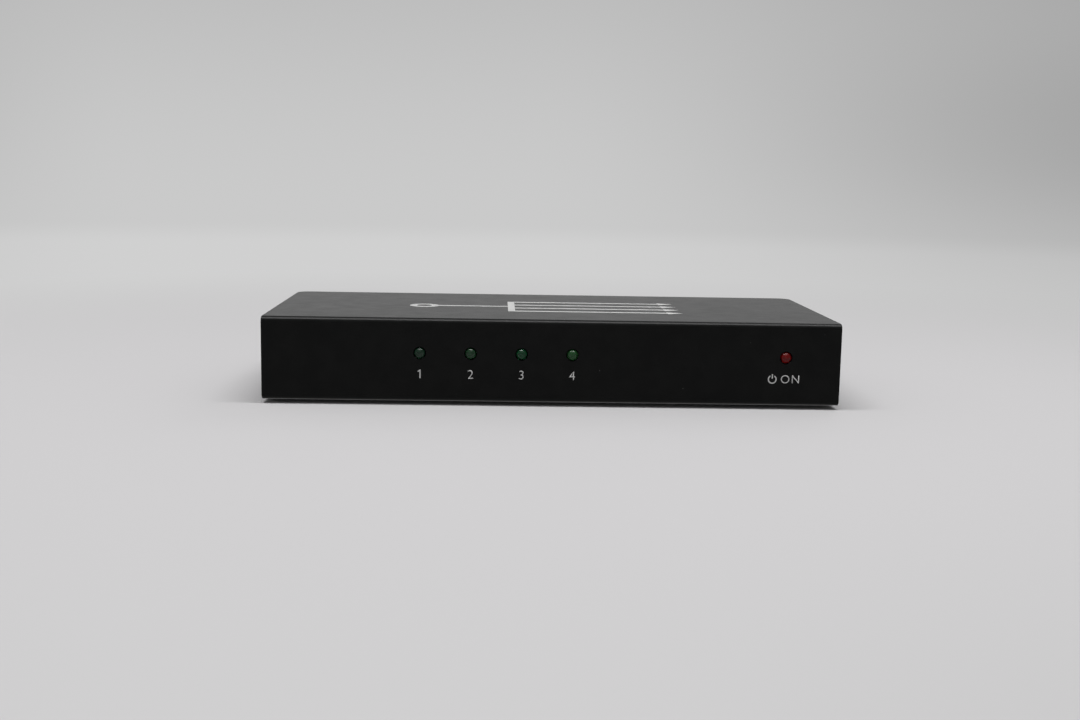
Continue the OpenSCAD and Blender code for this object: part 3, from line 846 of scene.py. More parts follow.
FINISHES: tuple[Finish, ...] = (
    PaintFinish("cover_paint", (0.0046, 0.0048, 0.0047), (0.0064, 0.0066, 0.0064), 0.25, 0.08,
                specular=0.068, feature=0.32 * MM, relief=0.004 * MM, dust=0.1),
    Finish("frame_paint", (0.0044, 0.0046, 0.0045), (0.0062, 0.0064, 0.0062), 0.28, 0.08, specular=0.09,
           feature=0.32 * MM, relief=0.004 * MM, dust=0.07),
    Finish("foot_rubber", (0.014, 0.014, 0.014), (0.026, 0.026, 0.026), 0.78, 0.1, feature=0.18 * MM,
           relief=0.012 * MM, dust=0.4),
    Finish("black_screws", (0.018, 0.018, 0.02), (0.035, 0.034, 0.034), 0.34, 0.2, feature=0.25 * MM),
    MaskFinish("board_laminate", (0.012, 0.085, 0.038), (0.016, 0.1, 0.045), 0.28, 0.12),
    Finish("plated_steel", (0.56, 0.56, 0.57), (0.66, 0.66, 0.66), 0.27, 0.2, metallic=1.0,
           feature=0.12 * MM, stretch=(1.0, 0.08, 1.0), relief=0.002 * MM),
    Finish("socket_plating", (0.64, 0.58, 0.45), (0.74, 0.69, 0.56), 0.25, 0.16, metallic=1.0,
           feature=0.14 * MM, stretch=(1.0, 0.1, 1.0), relief=0.0015 * MM),
    Finish("core_plastic", (0.008, 0.008, 0.008), (0.012, 0.0115, 0.0115), 0.42, 0.12, specular=0.3,
           feature=0.1 * MM),
    Finish("contact_gold", (0.83, 0.60, 0.24), (0.92, 0.70, 0.34), 0.22, 0.14, metallic=1.0,
           feature=0.08 * MM, stretch=(1.0, 0.15, 1.0), relief=0.001 * MM),
    Finish("jack_plastic", (0.0055, 0.0055, 0.0056), (0.008, 0.008, 0.008), 0.36, 0.14, specular=0.16,
           feature=0.12 * MM, dust=0.1),
    Finish("contact_metal", (0.66, 0.66, 0.65), (0.76, 0.76, 0.75), 0.2, 0.14, metallic=1.0,
           feature=0.1 * MM, stretch=(1.0, 0.12, 1.0), relief=0.001 * MM),
    LensFinish("green_lens", (0.009, 0.04, 0.016), (0.012, 0.052, 0.021), 0.06, 0.04, specular=0.15,
               feature=0.9 * MM, relief=0.001 * MM),
    LensFinish("red_lens", (0.115, 0.001, 0.001), (0.15, 0.002, 0.002), 0.06, 0.04, specular=0.06,
               feature=0.9 * MM, relief=0.001 * MM),
    Finish("tinned_wire", (0.58, 0.58, 0.58), (0.7, 0.7, 0.7), 0.32, 0.2, metallic=1.0, feature=0.1 * MM),
    Finish("chip_epoxy", (0.016, 0.016, 0.017), (0.026, 0.026, 0.027), 0.62, 0.1, feature=0.09 * MM,
           relief=0.006 * MM),
    Finish("pad_rubber", (0.22, 0.27, 0.34), (0.26, 0.31, 0.38), 0.7, 0.1, feature=0.2 * MM,
           relief=0.008 * MM),
    Finish("sink_aluminium", (0.46, 0.46, 0.47), (0.56, 0.56, 0.57), 0.38, 0.2, metallic=1.0,
           feature=0.16 * MM, stretch=(0.06, 1.0, 1.0), relief=0.003 * MM),
    Finish("ferrite", (0.045, 0.045, 0.048), (0.07, 0.07, 0.073), 0.66, 0.1, feature=0.12 * MM,
           relief=0.008 * MM),
    Finish("can_aluminium", (0.62, 0.62, 0.63), (0.72, 0.72, 0.73), 0.26, 0.14, metallic=1.0,
           feature=0.12 * MM, stretch=(1.0, 1.0, 0.08), relief=0.002 * MM),
)

LABEL_INK = Finish("label_ink", (0.5, 0.5, 0.495), (0.58, 0.58, 0.575), 0.6, 0.1, feature=0.16 * MM,
                   relief=0.003 * MM)


class Wardrobe:
    """Every material of the splitter, by the record's slot."""

    def __init__(self) -> None:
        """Builds all the finishes, and the ink that the record has no slot for."""
        self.shared = SharedEffects()
        self.materials = {finish.slot: finish.material(self.shared) for finish in FINISHES}
        self.ink = LABEL_INK.material(self.shared)

    def dress(self, piece: bpy.types.Object, slot: str, *stands_for: str) -> bpy.types.Object:
        """Gives a new piece its material and body, and hides the CAD nodes that it stands for.

        Args:
            piece: The piece, in place.
            slot: The record's material slot.
            *stands_for: The CAD nodes that it replaces.

        Returns:
            The piece.
        """
        return self.enter(piece, self.materials[slot], slot, *stands_for)

    def dye(self, piece: bpy.types.Object, slot: str, shade_of: Colour) -> None:
        """Gives a dressed piece its slot's finish in another shade, as from another batch.

        Args:
            piece: The piece.
            slot: The record's material slot.
            shade_of: What each channel of the finish's two colours is multiplied by.
        """
        finish = next(finish for finish in FINISHES if finish.slot == slot)
        colour, second = (
            tuple(a * b for a, b in zip(tone, shade_of)) for tone in (finish.colour, finish.second)
        )
        piece.data.materials[0] = replace(finish, colour=colour, second=second).material(self.shared)

    def print_on(self, piece: bpy.types.Object, slot: str) -> bpy.types.Object:
        """Gives a printed mark its ink; slot names the paint that it is printed on."""
        return self.enter(piece, self.ink, slot)

    @staticmethod
    def enter(
        piece: bpy.types.Object, material: bpy.types.Material, slot: str, *stands_for: str
    ) -> bpy.types.Object:
        """Gives a piece its material and makes it ride on the splitter's one body.

        Args:
            piece: The piece, in place.
            material: Its material.
            slot: The record's material slot that it belongs to; it is not used.
            *stands_for: The CAD nodes that it replaces.

        Returns:
            The piece.
        """
        piece.data.materials.clear()
        piece.data.materials.append(material)
        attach(piece, ROOT)
        if stands_for:
            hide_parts(*stands_for)
        log.info("%s: %d faces", piece.name, len(piece.data.polygons))
        return piece

    def dress_nodes(self) -> None:
        """Gives each CAD node that still shows its slot's material."""
        for part in frame["record"]["subparts"]:
            node = frame["nodes"][part["node"]]
            if not node.hide_render:
                node.data.materials.clear()
                node.data.materials.append(self.materials[part["material_slot"]])
                log.info("%s keeps its solid in %s", node.name, part["material_slot"])


# Case


@dataclass
class Case:
    """The folded cover, its feet and the screws that hold the frame in it."""

    sheet: float = 1.2 * MM
    bend: float = 1.6 * MM
    plate_corner: float = 3.5 * MM
    rim: float = 0.2 * MM
    light_hole: float = 1.6 * MM
    hole_rim: float = 0.1 * MM
    foot_radius: float = 4.0 * MM
    foot_rim: float = 0.35 * MM
    foot_groove_share: float = 0.3
    foot_groove: float = 0.15 * MM
    foot_groove_depth: float = 0.12 * MM
    screw_head: float = 2.3 * MM
    screw_shank: float = 1.25 * MM
    screw_gap: float = 0.05 * MM
    screw_rim: float = 0.07 * MM
    head_depth: float = 1.05 * MM
    screw_length: float = 3.04 * MM
    tip_height_share: float = 1 / 3
    tip_share: float = 0.7
    recess_arm: float = 1.15 * MM
    recess_width: float = 0.6 * MM
    recess_depth: float = 0.75 * MM
    recess_lead: float = 0.2 * MM
    recess_taper: float = 0.55
    cover: NodeBox = field(default_factory=lambda: NodeBox.of("wrap_cover"))
    screws: NodeBox = field(default_factory=lambda: NodeBox.of("case_screws"))
    feet: NodeBox = field(default_factory=lambda: NodeBox.of("rubber_feet"))

    @property
    def screw_places(self) -> list[Vector]:
        """The middles of the screws' heads, flush with the underside."""
        return self.corners_of(self.screws)

    def corners_of(self, screws: NodeBox) -> list[Vector]:
        """Finds the places of four screws from the box round them.

        Args:
            screws: The box round a set of four screws with heads of the same size.

        Returns:
            The screws' places, at the box's lowest level.
        """
        low, high, inset = screws.low, screws.high, self.screw_head
        return [
            Vector((x, y, low.z))
            for x in (low.x + inset, high.x - inset)
            for y in (low.y + inset, high.y - inset)
        ]

    def build(self, wardrobe: Wardrobe, lights: list[Vector]) -> None:
        """Models the cover, the feet and the screws.

        Args:
            wardrobe: The splitter's materials.
            lights: The middles of the lenses, which the cover has holes for.
        """
        wardrobe.dress(self.folded_cover(lights), "cover_paint", "wrap_cover")
        for number, place in enumerate(self.screw_places, 1):
            wardrobe.dress(self.screw(f"case_screw_{number}", place), "black_screws", "case_screws")
        for foot in self.rubber_feet():
            wardrobe.dress(foot, "foot_rubber", "rubber_feet")

    def folded_cover(self, lights: list[Vector]) -> bpy.types.Object:
        """Folds one sheet over the top, the front and the underside, and cuts its holes.

        Args:
            lights: The middles of the lenses.

        Returns:
            The cover.
        """
        low, high = self.cover.low, self.cover.high
        span = high - low
        piece = sheet("folded_cover", Vector((0, self.cover.middle.y, high.z)), span.x, span.y)
        with editing(piece):
            pick_edges(piece, lambda middle, way: near(middle.y, low.y))
            extrude(z=-span.z)
            extrude(y=span.y)
            pick_edges(piece, lambda middle, way: near(middle.y, low.y) and abs(way.x) > SQUARE)
            bpy.ops.mesh.bevel(offset=self.bend, segments=10, profile=0.5, affect="EDGES")
            pick_corners(piece, lambda corner: near(corner.y, high.y))
            bpy.ops.mesh.bevel(offset=self.plate_corner, segments=10, affect="VERTICES")
            bpy.ops.mesh.select_all(action="SELECT")
            bpy.ops.mesh.normals_make_consistent(inside=False)
        change(piece, "SOLIDIFY", thickness=self.sheet, offset=-1, use_even_offset=True)
        heal(piece)
        soften(piece, self.rim, clamp=False)
        depth = self.sheet + 2 * OVERRUN
        feet = [Vector((at.x, low.y - OVERRUN, at.z)) for at in lights]
        cut(piece, gather(*(
            rod("light_hole", foot, self.light_hole, depth, Axis.BACK, sides=48) for foot in feet
        )))
        cut(piece, gather(*(self.countersink(at) for at in self.screw_places)))
        heal(piece)
        for at in lights:
            face = Vector((at.x, low.y, at.z))
            room = Vector((self.light_hole + self.rim, self.hole_rim / 2, self.light_hole + self.rim))
            ease_rim(piece, self.hole_rim, face - room, face + room)
        shade(piece)
        return piece

    def countersink(self, at: Vector) -> bpy.types.Object:
        """Makes the solid of a countersunk hole in the underside.

        Args:
            at: The hole's middle at the underside.

        Returns:
            A solid that passes both faces of the sheet.
        """
        gap = self.screw_gap
        sink = rod(
            "countersink", at - Vector((0, 0, gap)), self.screw_head + gap, self.head_depth, sides=48,
            tip_radius=self.screw_shank + gap,
        )
        with editing(sink):
            pick_faces(sink, lambda middle, normal: normal.z > SQUARE)
            extrude(z=2 * OVERRUN)
        return sink

    def screw(self, name: str, at: Vector) -> bpy.types.Object:
        """Turns a countersunk screw and punches its cross recess.

        Args:
            name: The piece's name.
            at: The middle of its head, which looks down.

        Returns:
            The screw.
        """
        piece = rod(name, at, self.screw_head, self.head_depth, sides=48, tip_radius=self.screw_shank)
        tip = self.screw_shank * self.tip_height_share
        with editing(piece):
            pick_faces(piece, lambda middle, normal: normal.z > SQUARE)
            extrude(z=self.screw_length - self.head_depth - tip)
            extrude(z=tip)
            resize(at, x=self.tip_share, y=self.tip_share)
        long, short = self.recess_arm, self.recess_width / 2
        for wide, deep in ((long, short), (short, long)):
            arm = block(
                "recess", at - Vector((wide, deep, self.recess_lead)),
                at + Vector((wide, deep, self.recess_depth)),
            )
            with editing(arm):
                pick_faces(arm, lambda middle, normal: normal.z > SQUARE)
                resize(at, x=self.recess_taper, y=self.recess_taper)
            cut(piece, arm)
        soften(piece, self.screw_rim, segments=2)
        shade(piece)
        return piece

    def rubber_feet(self) -> list[bpy.types.Object]:
        """Models one foot, and copies it to the other three corners.

        Returns:
            The four feet.
        """
        low, radius = self.feet.low, self.foot_radius
        first = rod("rubber_foot_1", low + Vector((radius, radius, 0)), radius, self.feet.size.z)
        with editing(first):
            pick_edges(first, lambda middle, way: near(middle.z, low.z))
            bpy.ops.mesh.bevel(offset=self.foot_rim, segments=5, affect="EDGES")
            pick_faces(first, lambda middle, normal: normal.z < -SQUARE and near(middle.z, low.z))
            bpy.ops.mesh.inset(thickness=radius * self.foot_groove_share)
            bpy.ops.mesh.inset(thickness=self.foot_groove, depth=-self.foot_groove_depth)
        shade(first)
        steps = self.feet.size - Vector((2 * radius, 2 * radius, 0))
        shifts = [Vector((steps.x, 0, 0)), Vector((0, steps.y, 0)), Vector((steps.x, steps.y, 0))]
        twins = [copied(first, f"rubber_foot_{i}", shift) for i, shift in enumerate(shifts, 2)]
        return [first, *twins]


# Frame


@dataclass
class SocketOutline:
    """The outline of a video socket's shell, seen from the rear.

    Knee, shoulder and foot are the corners of one side, as shares of its half width and its height.
    """

    width: float
    height: float
    floor: float
    knee: Point = (1.0, 0.368)
    shoulder: Point = (0.849, 0.232)
    foot: Point = (0.683, 0.0)
    corner: float = 0.7 * MM
    lower_corner_share: float = 0.45

    @classmethod
    def of(cls, shell: str, body_height: float) -> "SocketOutline":
        """Takes an outline from a CAD shell, whose box also has its legs in it.

        Args:
            shell: The shell's node.
            body_height: The shell's height without its legs.

        Returns:
            The outline.
        """
        box = NodeBox.of(shell)
        return cls(box.size.x, body_height, box.high.z - body_height)

    def solid(self, name: str, x: float, rear: float, mouth: float, grow: float = 0.0) -> bpy.types.Object:
        """Cuts a block to the outline: two sloping cuts on each side, then round corners.

        Args:
            name: The piece's name.
            x: The outline's middle.
            rear: Where the solid starts.
            mouth: Where it ends, further to the rear of the case.
            grow: How much larger it is all round.

        Returns:
            The solid.
        """
        half = self.width / 2
        top = self.floor + self.height
        piece = block(
            name, Vector((x - half - grow, rear, self.floor - grow)),
            Vector((x + half + grow, mouth, top + grow)),
        )
        turns = [
            Vector((half * out, 0, self.floor + self.height * up))
            for out, up in (self.knee, self.shoulder, self.foot)
        ]
        with editing(piece):
            for a, b in zip(turns, turns[1:]):
                along = (b - a).normalized()
                outward = Vector((-along.z, 0, along.x))
                for side in (1, -1):
                    way = Vector((outward.x * side, 0, outward.z))
                    point = Vector((x + a.x * side, 0, a.z)) + way * grow
                    bisect(point, way, use_fill=True, clear_outer=True)
            pick_edges(piece, lambda middle, way: abs(way.y) > SQUARE and near(middle.z, top + grow))
            bpy.ops.mesh.bevel(offset=self.corner + grow, segments=6, affect="EDGES")
            waist = self.floor + self.height / 2
            pick_edges(piece, lambda middle, way: abs(way.y) > SQUARE and middle.z < waist)
            bpy.ops.mesh.bevel(
                offset=(self.corner + grow) * self.lower_corner_share, segments=4, affect="EDGES"
            )
        return piece


@dataclass
class InnerFrame:
    """The rear wall and the side walls, folded from one sheet with round upright corners."""

    sheet: float = 1.0 * MM
    fold_radius: float = 1.4 * MM
    corner: float = 2.0 * MM
    flange: float = 10.0 * MM
    rim_flange: float = 4.0 * MM
    relief: float = 1.0 * MM
    rim: float = 0.16 * MM
    hole_rim: float = 0.08 * MM
    gap: float = 0.25 * MM
    window_corner: float = 0.3 * MM
    hole: float = 1.3 * MM
    box: NodeBox = field(default_factory=lambda: NodeBox.of("rear_frame"))

    @property
    def wall(self) -> float:
        """Where the rear wall's outer face lies."""
        return self.box.high.y

    @property
    def corner_start(self) -> float:
        """How far from the middle the round upright corners start."""
        return self.box.high.x - self.corner

    @property
    def side_end(self) -> float:
        """Where the side walls' flanges end, short of the round corners."""
        return self.wall - self.rim_flange - self.relief

    def build(
        self, wardrobe: Wardrobe, outline: SocketOutline, socket_xs: list[float], jack: NodeBox,
        holes: list[Vector],
    ) -> None:
        """Folds the frame and cuts its openings.

        Args:
            wardrobe: The splitter's materials.
            outline: The outline of the sockets.
            socket_xs: The sockets' places across the wall.
            jack: The box of the power jack's housing.
            holes: The middles of the screw holes in the lower flanges.
        """
        piece = self.folded_walls()
        soften(piece, self.rim, clamp=False)
        inside, outside = self.wall - 2 * self.sheet, self.wall + OVERRUN
        for x in socket_xs:
            cut(piece, outline.solid("socket_cutout", x, inside, outside, self.gap))
        cut(piece, self.jack_cutout(jack, inside, outside))
        for at in holes:
            foot = Vector((at.x, at.y, self.box.low.z - OVERRUN))
            cut(piece, rod("screw_hole", foot, self.hole, self.sheet + 2 * OVERRUN))
        heal(piece)
        middle = Vector((0, self.wall, jack.middle.z))
        room = Vector((jack.high.x + OVERRUN, self.hole_rim / 2, jack.size.z / 2 + OVERRUN))
        ease_rim(piece, self.hole_rim, middle - room, middle + room)
        shade(piece)
        wardrobe.dress(piece, "frame_paint", "rear_frame")

    def folded_walls(self) -> bpy.types.Object:
        """Folds the walls and their flanges from one sheet.

        Returns:
            The frame without its openings.
        """
        low, high, half = self.box.low, self.box.high, self.corner_start
        floor, top = low.z + self.fold_radius, high.z - self.fold_radius
        middle = Vector((0, high.y, (floor + top) / 2))
        piece = sheet("inner_frame", middle, 2 * half, top - floor, (math.pi / 2, 0, 0))
        with editing(piece):
            for side in (1, -1):
                pick_edges(piece, lambda middle, way: abs(way.z) > SQUARE and near(middle.x, side * half))
                fold(Vector((side * half, high.y - self.corner, 0)), (0, 0, 1), -90 * side)
                extrude(y=low.y - high.y + self.corner)
            bisect(Vector((0, self.side_end, 0)), Vector((0, 1, 0)))
            for level, way_out in ((floor, -1), (top, 1)):
                self._fold_rear_flange(piece, level, way_out)
                for side in (1, -1):
                    self._fold_side_flange(piece, level, way_out, side)
                self._run_corners_out(piece, level, way_out)
            bpy.ops.mesh.select_all(action="SELECT")
            bpy.ops.mesh.remove_doubles(threshold=HAIR)
            bpy.ops.mesh.normals_make_consistent(inside=False)
        self._face_outwards(piece)
        change(piece, "SOLIDIFY", thickness=self.sheet, offset=-1, use_even_offset=True)
        heal(piece)
        return piece

    def _fold_rear_flange(self, piece: bpy.types.Object, level: float, way_out: int) -> None:
        """Folds the rear wall's edge at a level inwards, and runs it on as a narrow flange.

        Args:
            piece: The sheet, in edit mode.
            level: The height of the wall's edge.
            way_out: 1 for the upper edge and -1 for the lower.
        """
        pick_edges(
            piece,
            lambda middle, way: abs(way.x) > SQUARE and near(middle.z, level) and near(middle.y, self.wall),
        )
        fold(Vector((0, self.wall - self.fold_radius, level)), (1, 0, 0), 90 * way_out)
        extrude(y=-(self.rim_flange - self.fold_radius))

    def _fold_side_flange(self, piece: bpy.types.Object, level: float, way_out: int, side: int) -> None:
        """Folds a side wall's edge at a level inwards: wide below, where it carries the board.

        Args:
            piece: The sheet, in edit mode.
            level: The height of the wall's edge.
            way_out: 1 for the upper edge and -1 for the lower.
            side: 1 for the right wall and -1 for the left.
        """
        outer = side * self.box.high.x
        width = self.flange if way_out < 0 else self.rim_flange
        pick_edges(
            piece,
            lambda middle, way: abs(way.y) > SQUARE and near(middle.z, level) and near(middle.x, outer)
            and middle.y < self.side_end,
        )
        fold(Vector((outer - side * self.fold_radius, 0, level)), (0, 1, 0), -90 * side * way_out)
        extrude(x=-side * (width - self.fold_radius))

    def _run_corners_out(self, piece: bpy.types.Object, level: float, way_out: int) -> None:
        """Runs the round corners, which have no flange, out to the frame's full height.

        Args:
            piece: The sheet, in edit mode.
            level: The height of the walls' edge.
            way_out: 1 for the upper edge and -1 for the lower.
        """
        pick_edges(
            piece,
            lambda middle, way: near(middle.z, level) and abs(middle.x) > self.corner_start + HAIR
            and middle.y > self.side_end and abs(way.z) < 1 - SQUARE,
        )
        extrude(z=way_out * self.fold_radius)

    def _face_outwards(self, piece: bpy.types.Object) -> None:
        """Flips the sheet where its rear wall looks into the case.

        Args:
            piece: The folded sheet, before it has its thickness.
        """
        wall = max(piece.data.polygons, key=lambda face: face.area if near(face.center.y, self.wall) else 0)
        if wall.normal.y < 0:
            with editing(piece):
                bpy.ops.mesh.select_all(action="SELECT")
                bpy.ops.mesh.flip_normals()

    def jack_cutout(self, jack: NodeBox, inside: float, outside: float) -> bpy.types.Object:
        """Makes the solid of the jack's window.

        Args:
            jack: The box of the jack's housing.
            inside: Where the solid starts, inside the wall.
            outside: Where it ends, outside the wall.

        Returns:
            A solid that passes the wall.
        """
        room = Vector((self.gap, 0, self.gap))
        piece = block(
            "jack_cutout", Vector((jack.low.x, inside, jack.low.z)) - room,
            Vector((jack.high.x, outside, jack.high.z)) + room,
        )
        with editing(piece):
            pick_edges(piece, lambda middle, way: abs(way.y) > SQUARE)
            bpy.ops.mesh.bevel(offset=self.window_corner, segments=3, affect="EDGES")
        return piece


# Video sockets


@dataclass
class VideoSockets:
    """The five video sockets: one formed shell, copied to each place along the rear wall.

    Each of a leaf's bends is how far it runs on, as a share of the leaf's length, and how far it goes
    into the shell, as a share of the dip.
    """

    sheet: float = 0.4 * MM
    body_height: float = 5.5 * MM
    closed_rear: float = 4.64 * MM
    closure: float = 1.98 * MM
    rim: float = 0.07 * MM
    leg_width: float = 1.2 * MM
    leg_backs: tuple[float, float] = (3.94 * MM, 9.98 * MM)
    leg_top: float = 2.42 * MM
    leaf_spread: float = 3.0 * MM
    leaf_width: float = 1.5 * MM
    leaf_length: float = 3.48 * MM
    leaf_back: float = 2.32 * MM
    leaf_dip: float = 0.32 * MM
    leaf_gap: float = 0.32 * MM
    leaf_sheet_share: float = 0.55
    leaf_bends: tuple[Point, ...] = ((0.35, 0.5), (0.35, 0.5), (0.1, -0.15), (0.1, -0.45))
    window_room: float = 0.1 * MM
    leg_tip_share: float = 0.6
    seam: float = 0.24 * MM
    names: tuple[str, ...] = (*(f"output_socket_{i}" for i in range(1, 5)), "input_socket")

    @property
    def boxes(self) -> list[NodeBox]:
        """The boxes of the sockets' shells, in the order of their names."""
        return [NodeBox.of(f"{name}_shell") for name in self.names]

    @property
    def outline(self) -> SocketOutline:
        """The outline that the shells and their cut-outs share."""
        return SocketOutline.of(f"{self.names[0]}_shell", self.body_height)

    def build(self, wardrobe: Wardrobe) -> None:
        """Models the first shell and copies it to the other places.

        Args:
            wardrobe: The splitter's materials.
        """
        boxes = self.boxes
        first = self.shell(f"{self.names[0]}_formed_shell", boxes[0])
        shells = [first] + [
            copied(first, f"{name}_formed_shell", Vector((box.middle.x - boxes[0].middle.x, 0, 0)))
            for name, box in zip(self.names[1:], boxes[1:])
        ]
        for name, shell in zip(self.names, shells):
            wardrobe.dress(shell, "socket_plating", f"{name}_shell")

    def shell(self, name: str, box: NodeBox) -> bpy.types.Object:
        """Forms a shell from thin sheet, with its windows, leaves and legs.

        Args:
            name: The piece's name.
            box: The CAD shell's box.

        Returns:
            The shell.
        """
        outline, x = self.outline, box.middle.x
        rear, mouth, floor = box.low.y, box.high.y, self.outline.floor
        piece = outline.solid(name, x, rear, mouth)
        cut(piece, outline.solid("hollow", x, rear + self.sheet, mouth + OVERRUN, -self.sheet))
        over = Vector((outline.width, OVERRUN, OVERRUN))
        cut(piece, block(
            "open_rear", Vector((x, rear, floor)) - over,
            Vector((x + outline.width, rear + self.closed_rear, floor + self.closure)),
        ))
        cut(piece, block(
            "seam", Vector((x - self.seam / 2, rear, floor - OVERRUN)),
            Vector((x + self.seam / 2, mouth + OVERRUN, floor + 2 * self.sheet)),
        ))
        leaves = []
        for side in (-1, 1):
            for top in (True, False):
                at = Vector((x + side * self.leaf_spread, mouth - self.leaf_back, floor))
                cut(piece, self.window(at, top))
                leaves.append(self.leaf(at, top))
            for back in self.leg_backs:
                weld(piece, self.leg(Vector((x + side * outline.width / 2, mouth - back, box.low.z)), side))
        heal(piece)
        soften(piece, self.rim, segments=2, degrees=50)
        gather(piece, *leaves)
        heal(piece)
        shade(piece, degrees=40)
        return piece

    def window(self, at: Vector, top: bool) -> bpy.types.Object:
        """Makes the solid of the window that a leaf is cut free in.

        Args:
            at: The middle of the window's edge nearest the mouth, at the shell's floor.
            top: Whether the window is in the shell's top.

        Returns:
            A solid that passes the sheet.
        """
        half = self.leaf_width / 2 + self.leaf_gap
        level = self.body_height - self.sheet if top else 0.0
        return block(
            "leaf_window", at + Vector((-half, -self.leaf_length, level - self.window_room)),
            at + Vector((half, 0, level + self.sheet + self.window_room)),
        )

    def leaf(self, at: Vector, top: bool) -> bpy.types.Object:
        """Bends a spring leaf that dips into the shell to grip a plug.

        Args:
            at: The middle of its window's edge nearest the mouth, at the shell's floor.
            top: Whether the leaf is in the shell's top.

        Returns:
            The leaf.
        """
        level = self.body_height - self.sheet / 2 if top else self.sheet / 2
        dip = -self.leaf_dip if top else self.leaf_dip
        root = at + Vector((0, -self.leaf_length, level))
        piece = sheet("leaf", root - Vector((0, self.sheet / 2, 0)), self.leaf_width, self.sheet)
        with editing(piece):
            pick_edges(piece, lambda middle, way: abs(way.x) > SQUARE and near(middle.y, root.y))
            for length_share, dip_share in self.leaf_bends:
                extrude(y=self.leaf_length * length_share, z=dip * dip_share)
        change(piece, "SOLIDIFY", thickness=self.sheet * self.leaf_sheet_share, offset=0)
        return piece

    def leg(self, foot: Vector, side: int) -> bpy.types.Object:
        """Makes one straight leg, with a chamfered foot.

        Args:
            foot: The middle of its outer face, at its foot.
            side: 1 for the right side of the shell and -1 for the left.

        Returns:
            The leg.
        """
        inner, outer = sorted((foot.x, foot.x - side * self.sheet))
        piece = block(
            "leg", Vector((inner, foot.y - self.leg_width / 2, foot.z)),
            Vector((outer, foot.y + self.leg_width / 2, self.outline.floor + self.leg_top)),
        )
        with editing(piece):
            pick_faces(piece, lambda middle, normal: normal.z < -SQUARE)
            resize(foot, y=self.leg_tip_share)
        return piece


# Power jack


@dataclass
class PowerJack:
    """The round power jack: a moulded housing and the pin in its bore."""

    flange: float = 3.456 * MM
    flange_corner: float = 0.35 * MM
    overlap: float = 0.5 * MM
    bore: float = 3.2 * MM
    bore_depth: float = 9.6 * MM
    axis_height: float = 6.6 * MM
    drop: float = 0.65 * MM
    roundness: float = 3.6 * MM
    shank: float = 0.84 * MM
    pin: float = 1.05 * MM
    pin_tip: float = 0.63 * MM
    pin_round: float = 0.15 * MM
    pin_back: float = 1.2 * MM
    taper: float = 0.84 * MM
    plating: float = 0.05 * MM
    slot_half_width: float = 1.0 * MM
    spring_slot_depth: float = 1.1 * MM
    rim: float = 0.18 * MM
    housing: NodeBox = field(default_factory=lambda: NodeBox.of("dc_jack_housing"))

    @property
    def axis(self) -> Vector:
        """The middle of the bore's mouth."""
        return Vector((self.housing.middle.x, self.housing.high.y, self.housing.low.z + self.axis_height))

    def build(self, wardrobe: Wardrobe) -> None:
        """Models the housing and the pin.

        Args:
            wardrobe: The splitter's materials.
        """
        wardrobe.dress(self.moulded_housing(), "jack_plastic", "dc_jack_housing")
        wardrobe.dress(self.turned_pin(), "contact_metal")

    def moulded_housing(self) -> bpy.types.Object:
        """Models the square flange, the rounded body behind it and the bore with its spring's slot.

        Returns:
            The housing.
        """
        low, high = self.housing.low, self.housing.high
        shoulder = high.y - self.flange
        body = block("jack_body", low, Vector((high.x, shoulder + self.overlap, high.z - self.drop)))
        with editing(body):
            pick_edges(body, lambda middle, way: abs(way.y) > SQUARE and middle.z > self.axis.z)
            bpy.ops.mesh.bevel(offset=self.roundness, segments=10, affect="EDGES")
        piece = block("jack_moulding", Vector((low.x, shoulder, low.z)), high)
        with editing(piece):
            pick_edges(piece, lambda middle, way: abs(way.y) > SQUARE)
            bpy.ops.mesh.bevel(offset=self.flange_corner, segments=4, affect="EDGES")
        weld(piece, body)
        inner = self.axis - Vector((0, self.bore_depth, 0))
        shank = self.axis - Vector((0, self.housing.size.y + OVERRUN, 0))
        cut(
            piece,
            rod("bore", inner, self.bore, self.bore_depth + OVERRUN, Axis.BACK),
            rod("shank_hole", shank, self.shank, self.housing.size.y, Axis.BACK, sides=32),
            block(
                "spring_slot",
                inner - Vector((self.slot_half_width, 0, self.bore + self.spring_slot_depth)),
                Vector((inner.x + self.slot_half_width, shoulder, inner.z - self.bore / 2)),
            ),
        )
        soften(piece, self.rim, degrees=50)
        shade(piece, degrees=35)
        return piece

    def turned_pin(self) -> bpy.types.Object:
        """Turns the bright sleeve with its tapered tip that covers the pin in the bore.

        Returns:
            The sleeve.
        """
        foot = self.axis - Vector((0, self.bore_depth, 0))
        shoulder = self.axis.y - self.pin_back - self.taper
        tip = self.axis.y - self.pin_back + self.plating
        radius = self.pin + self.plating
        piece = rod("jack_pin_sleeve", foot, radius, shoulder - foot.y, Axis.BACK, sides=48)
        with editing(piece):
            pick_faces(piece, lambda middle, normal: normal.y > SQUARE)
            extrude(y=tip - shoulder)
            share = (self.pin_tip + self.plating) / radius
            resize(Vector((foot.x, tip, foot.z)), x=share, z=share)
            for level, width in ((tip, self.pin_round), (shoulder, 2 * self.pin_round)):
                pick_edges(piece, lambda middle, way: near(middle.y, level) and abs(way.y) < 1 - SQUARE)
                bpy.ops.mesh.bevel(offset=width, segments=4, affect="EDGES")
        shade(piece, degrees=35)
        return piece


# Indicator lights


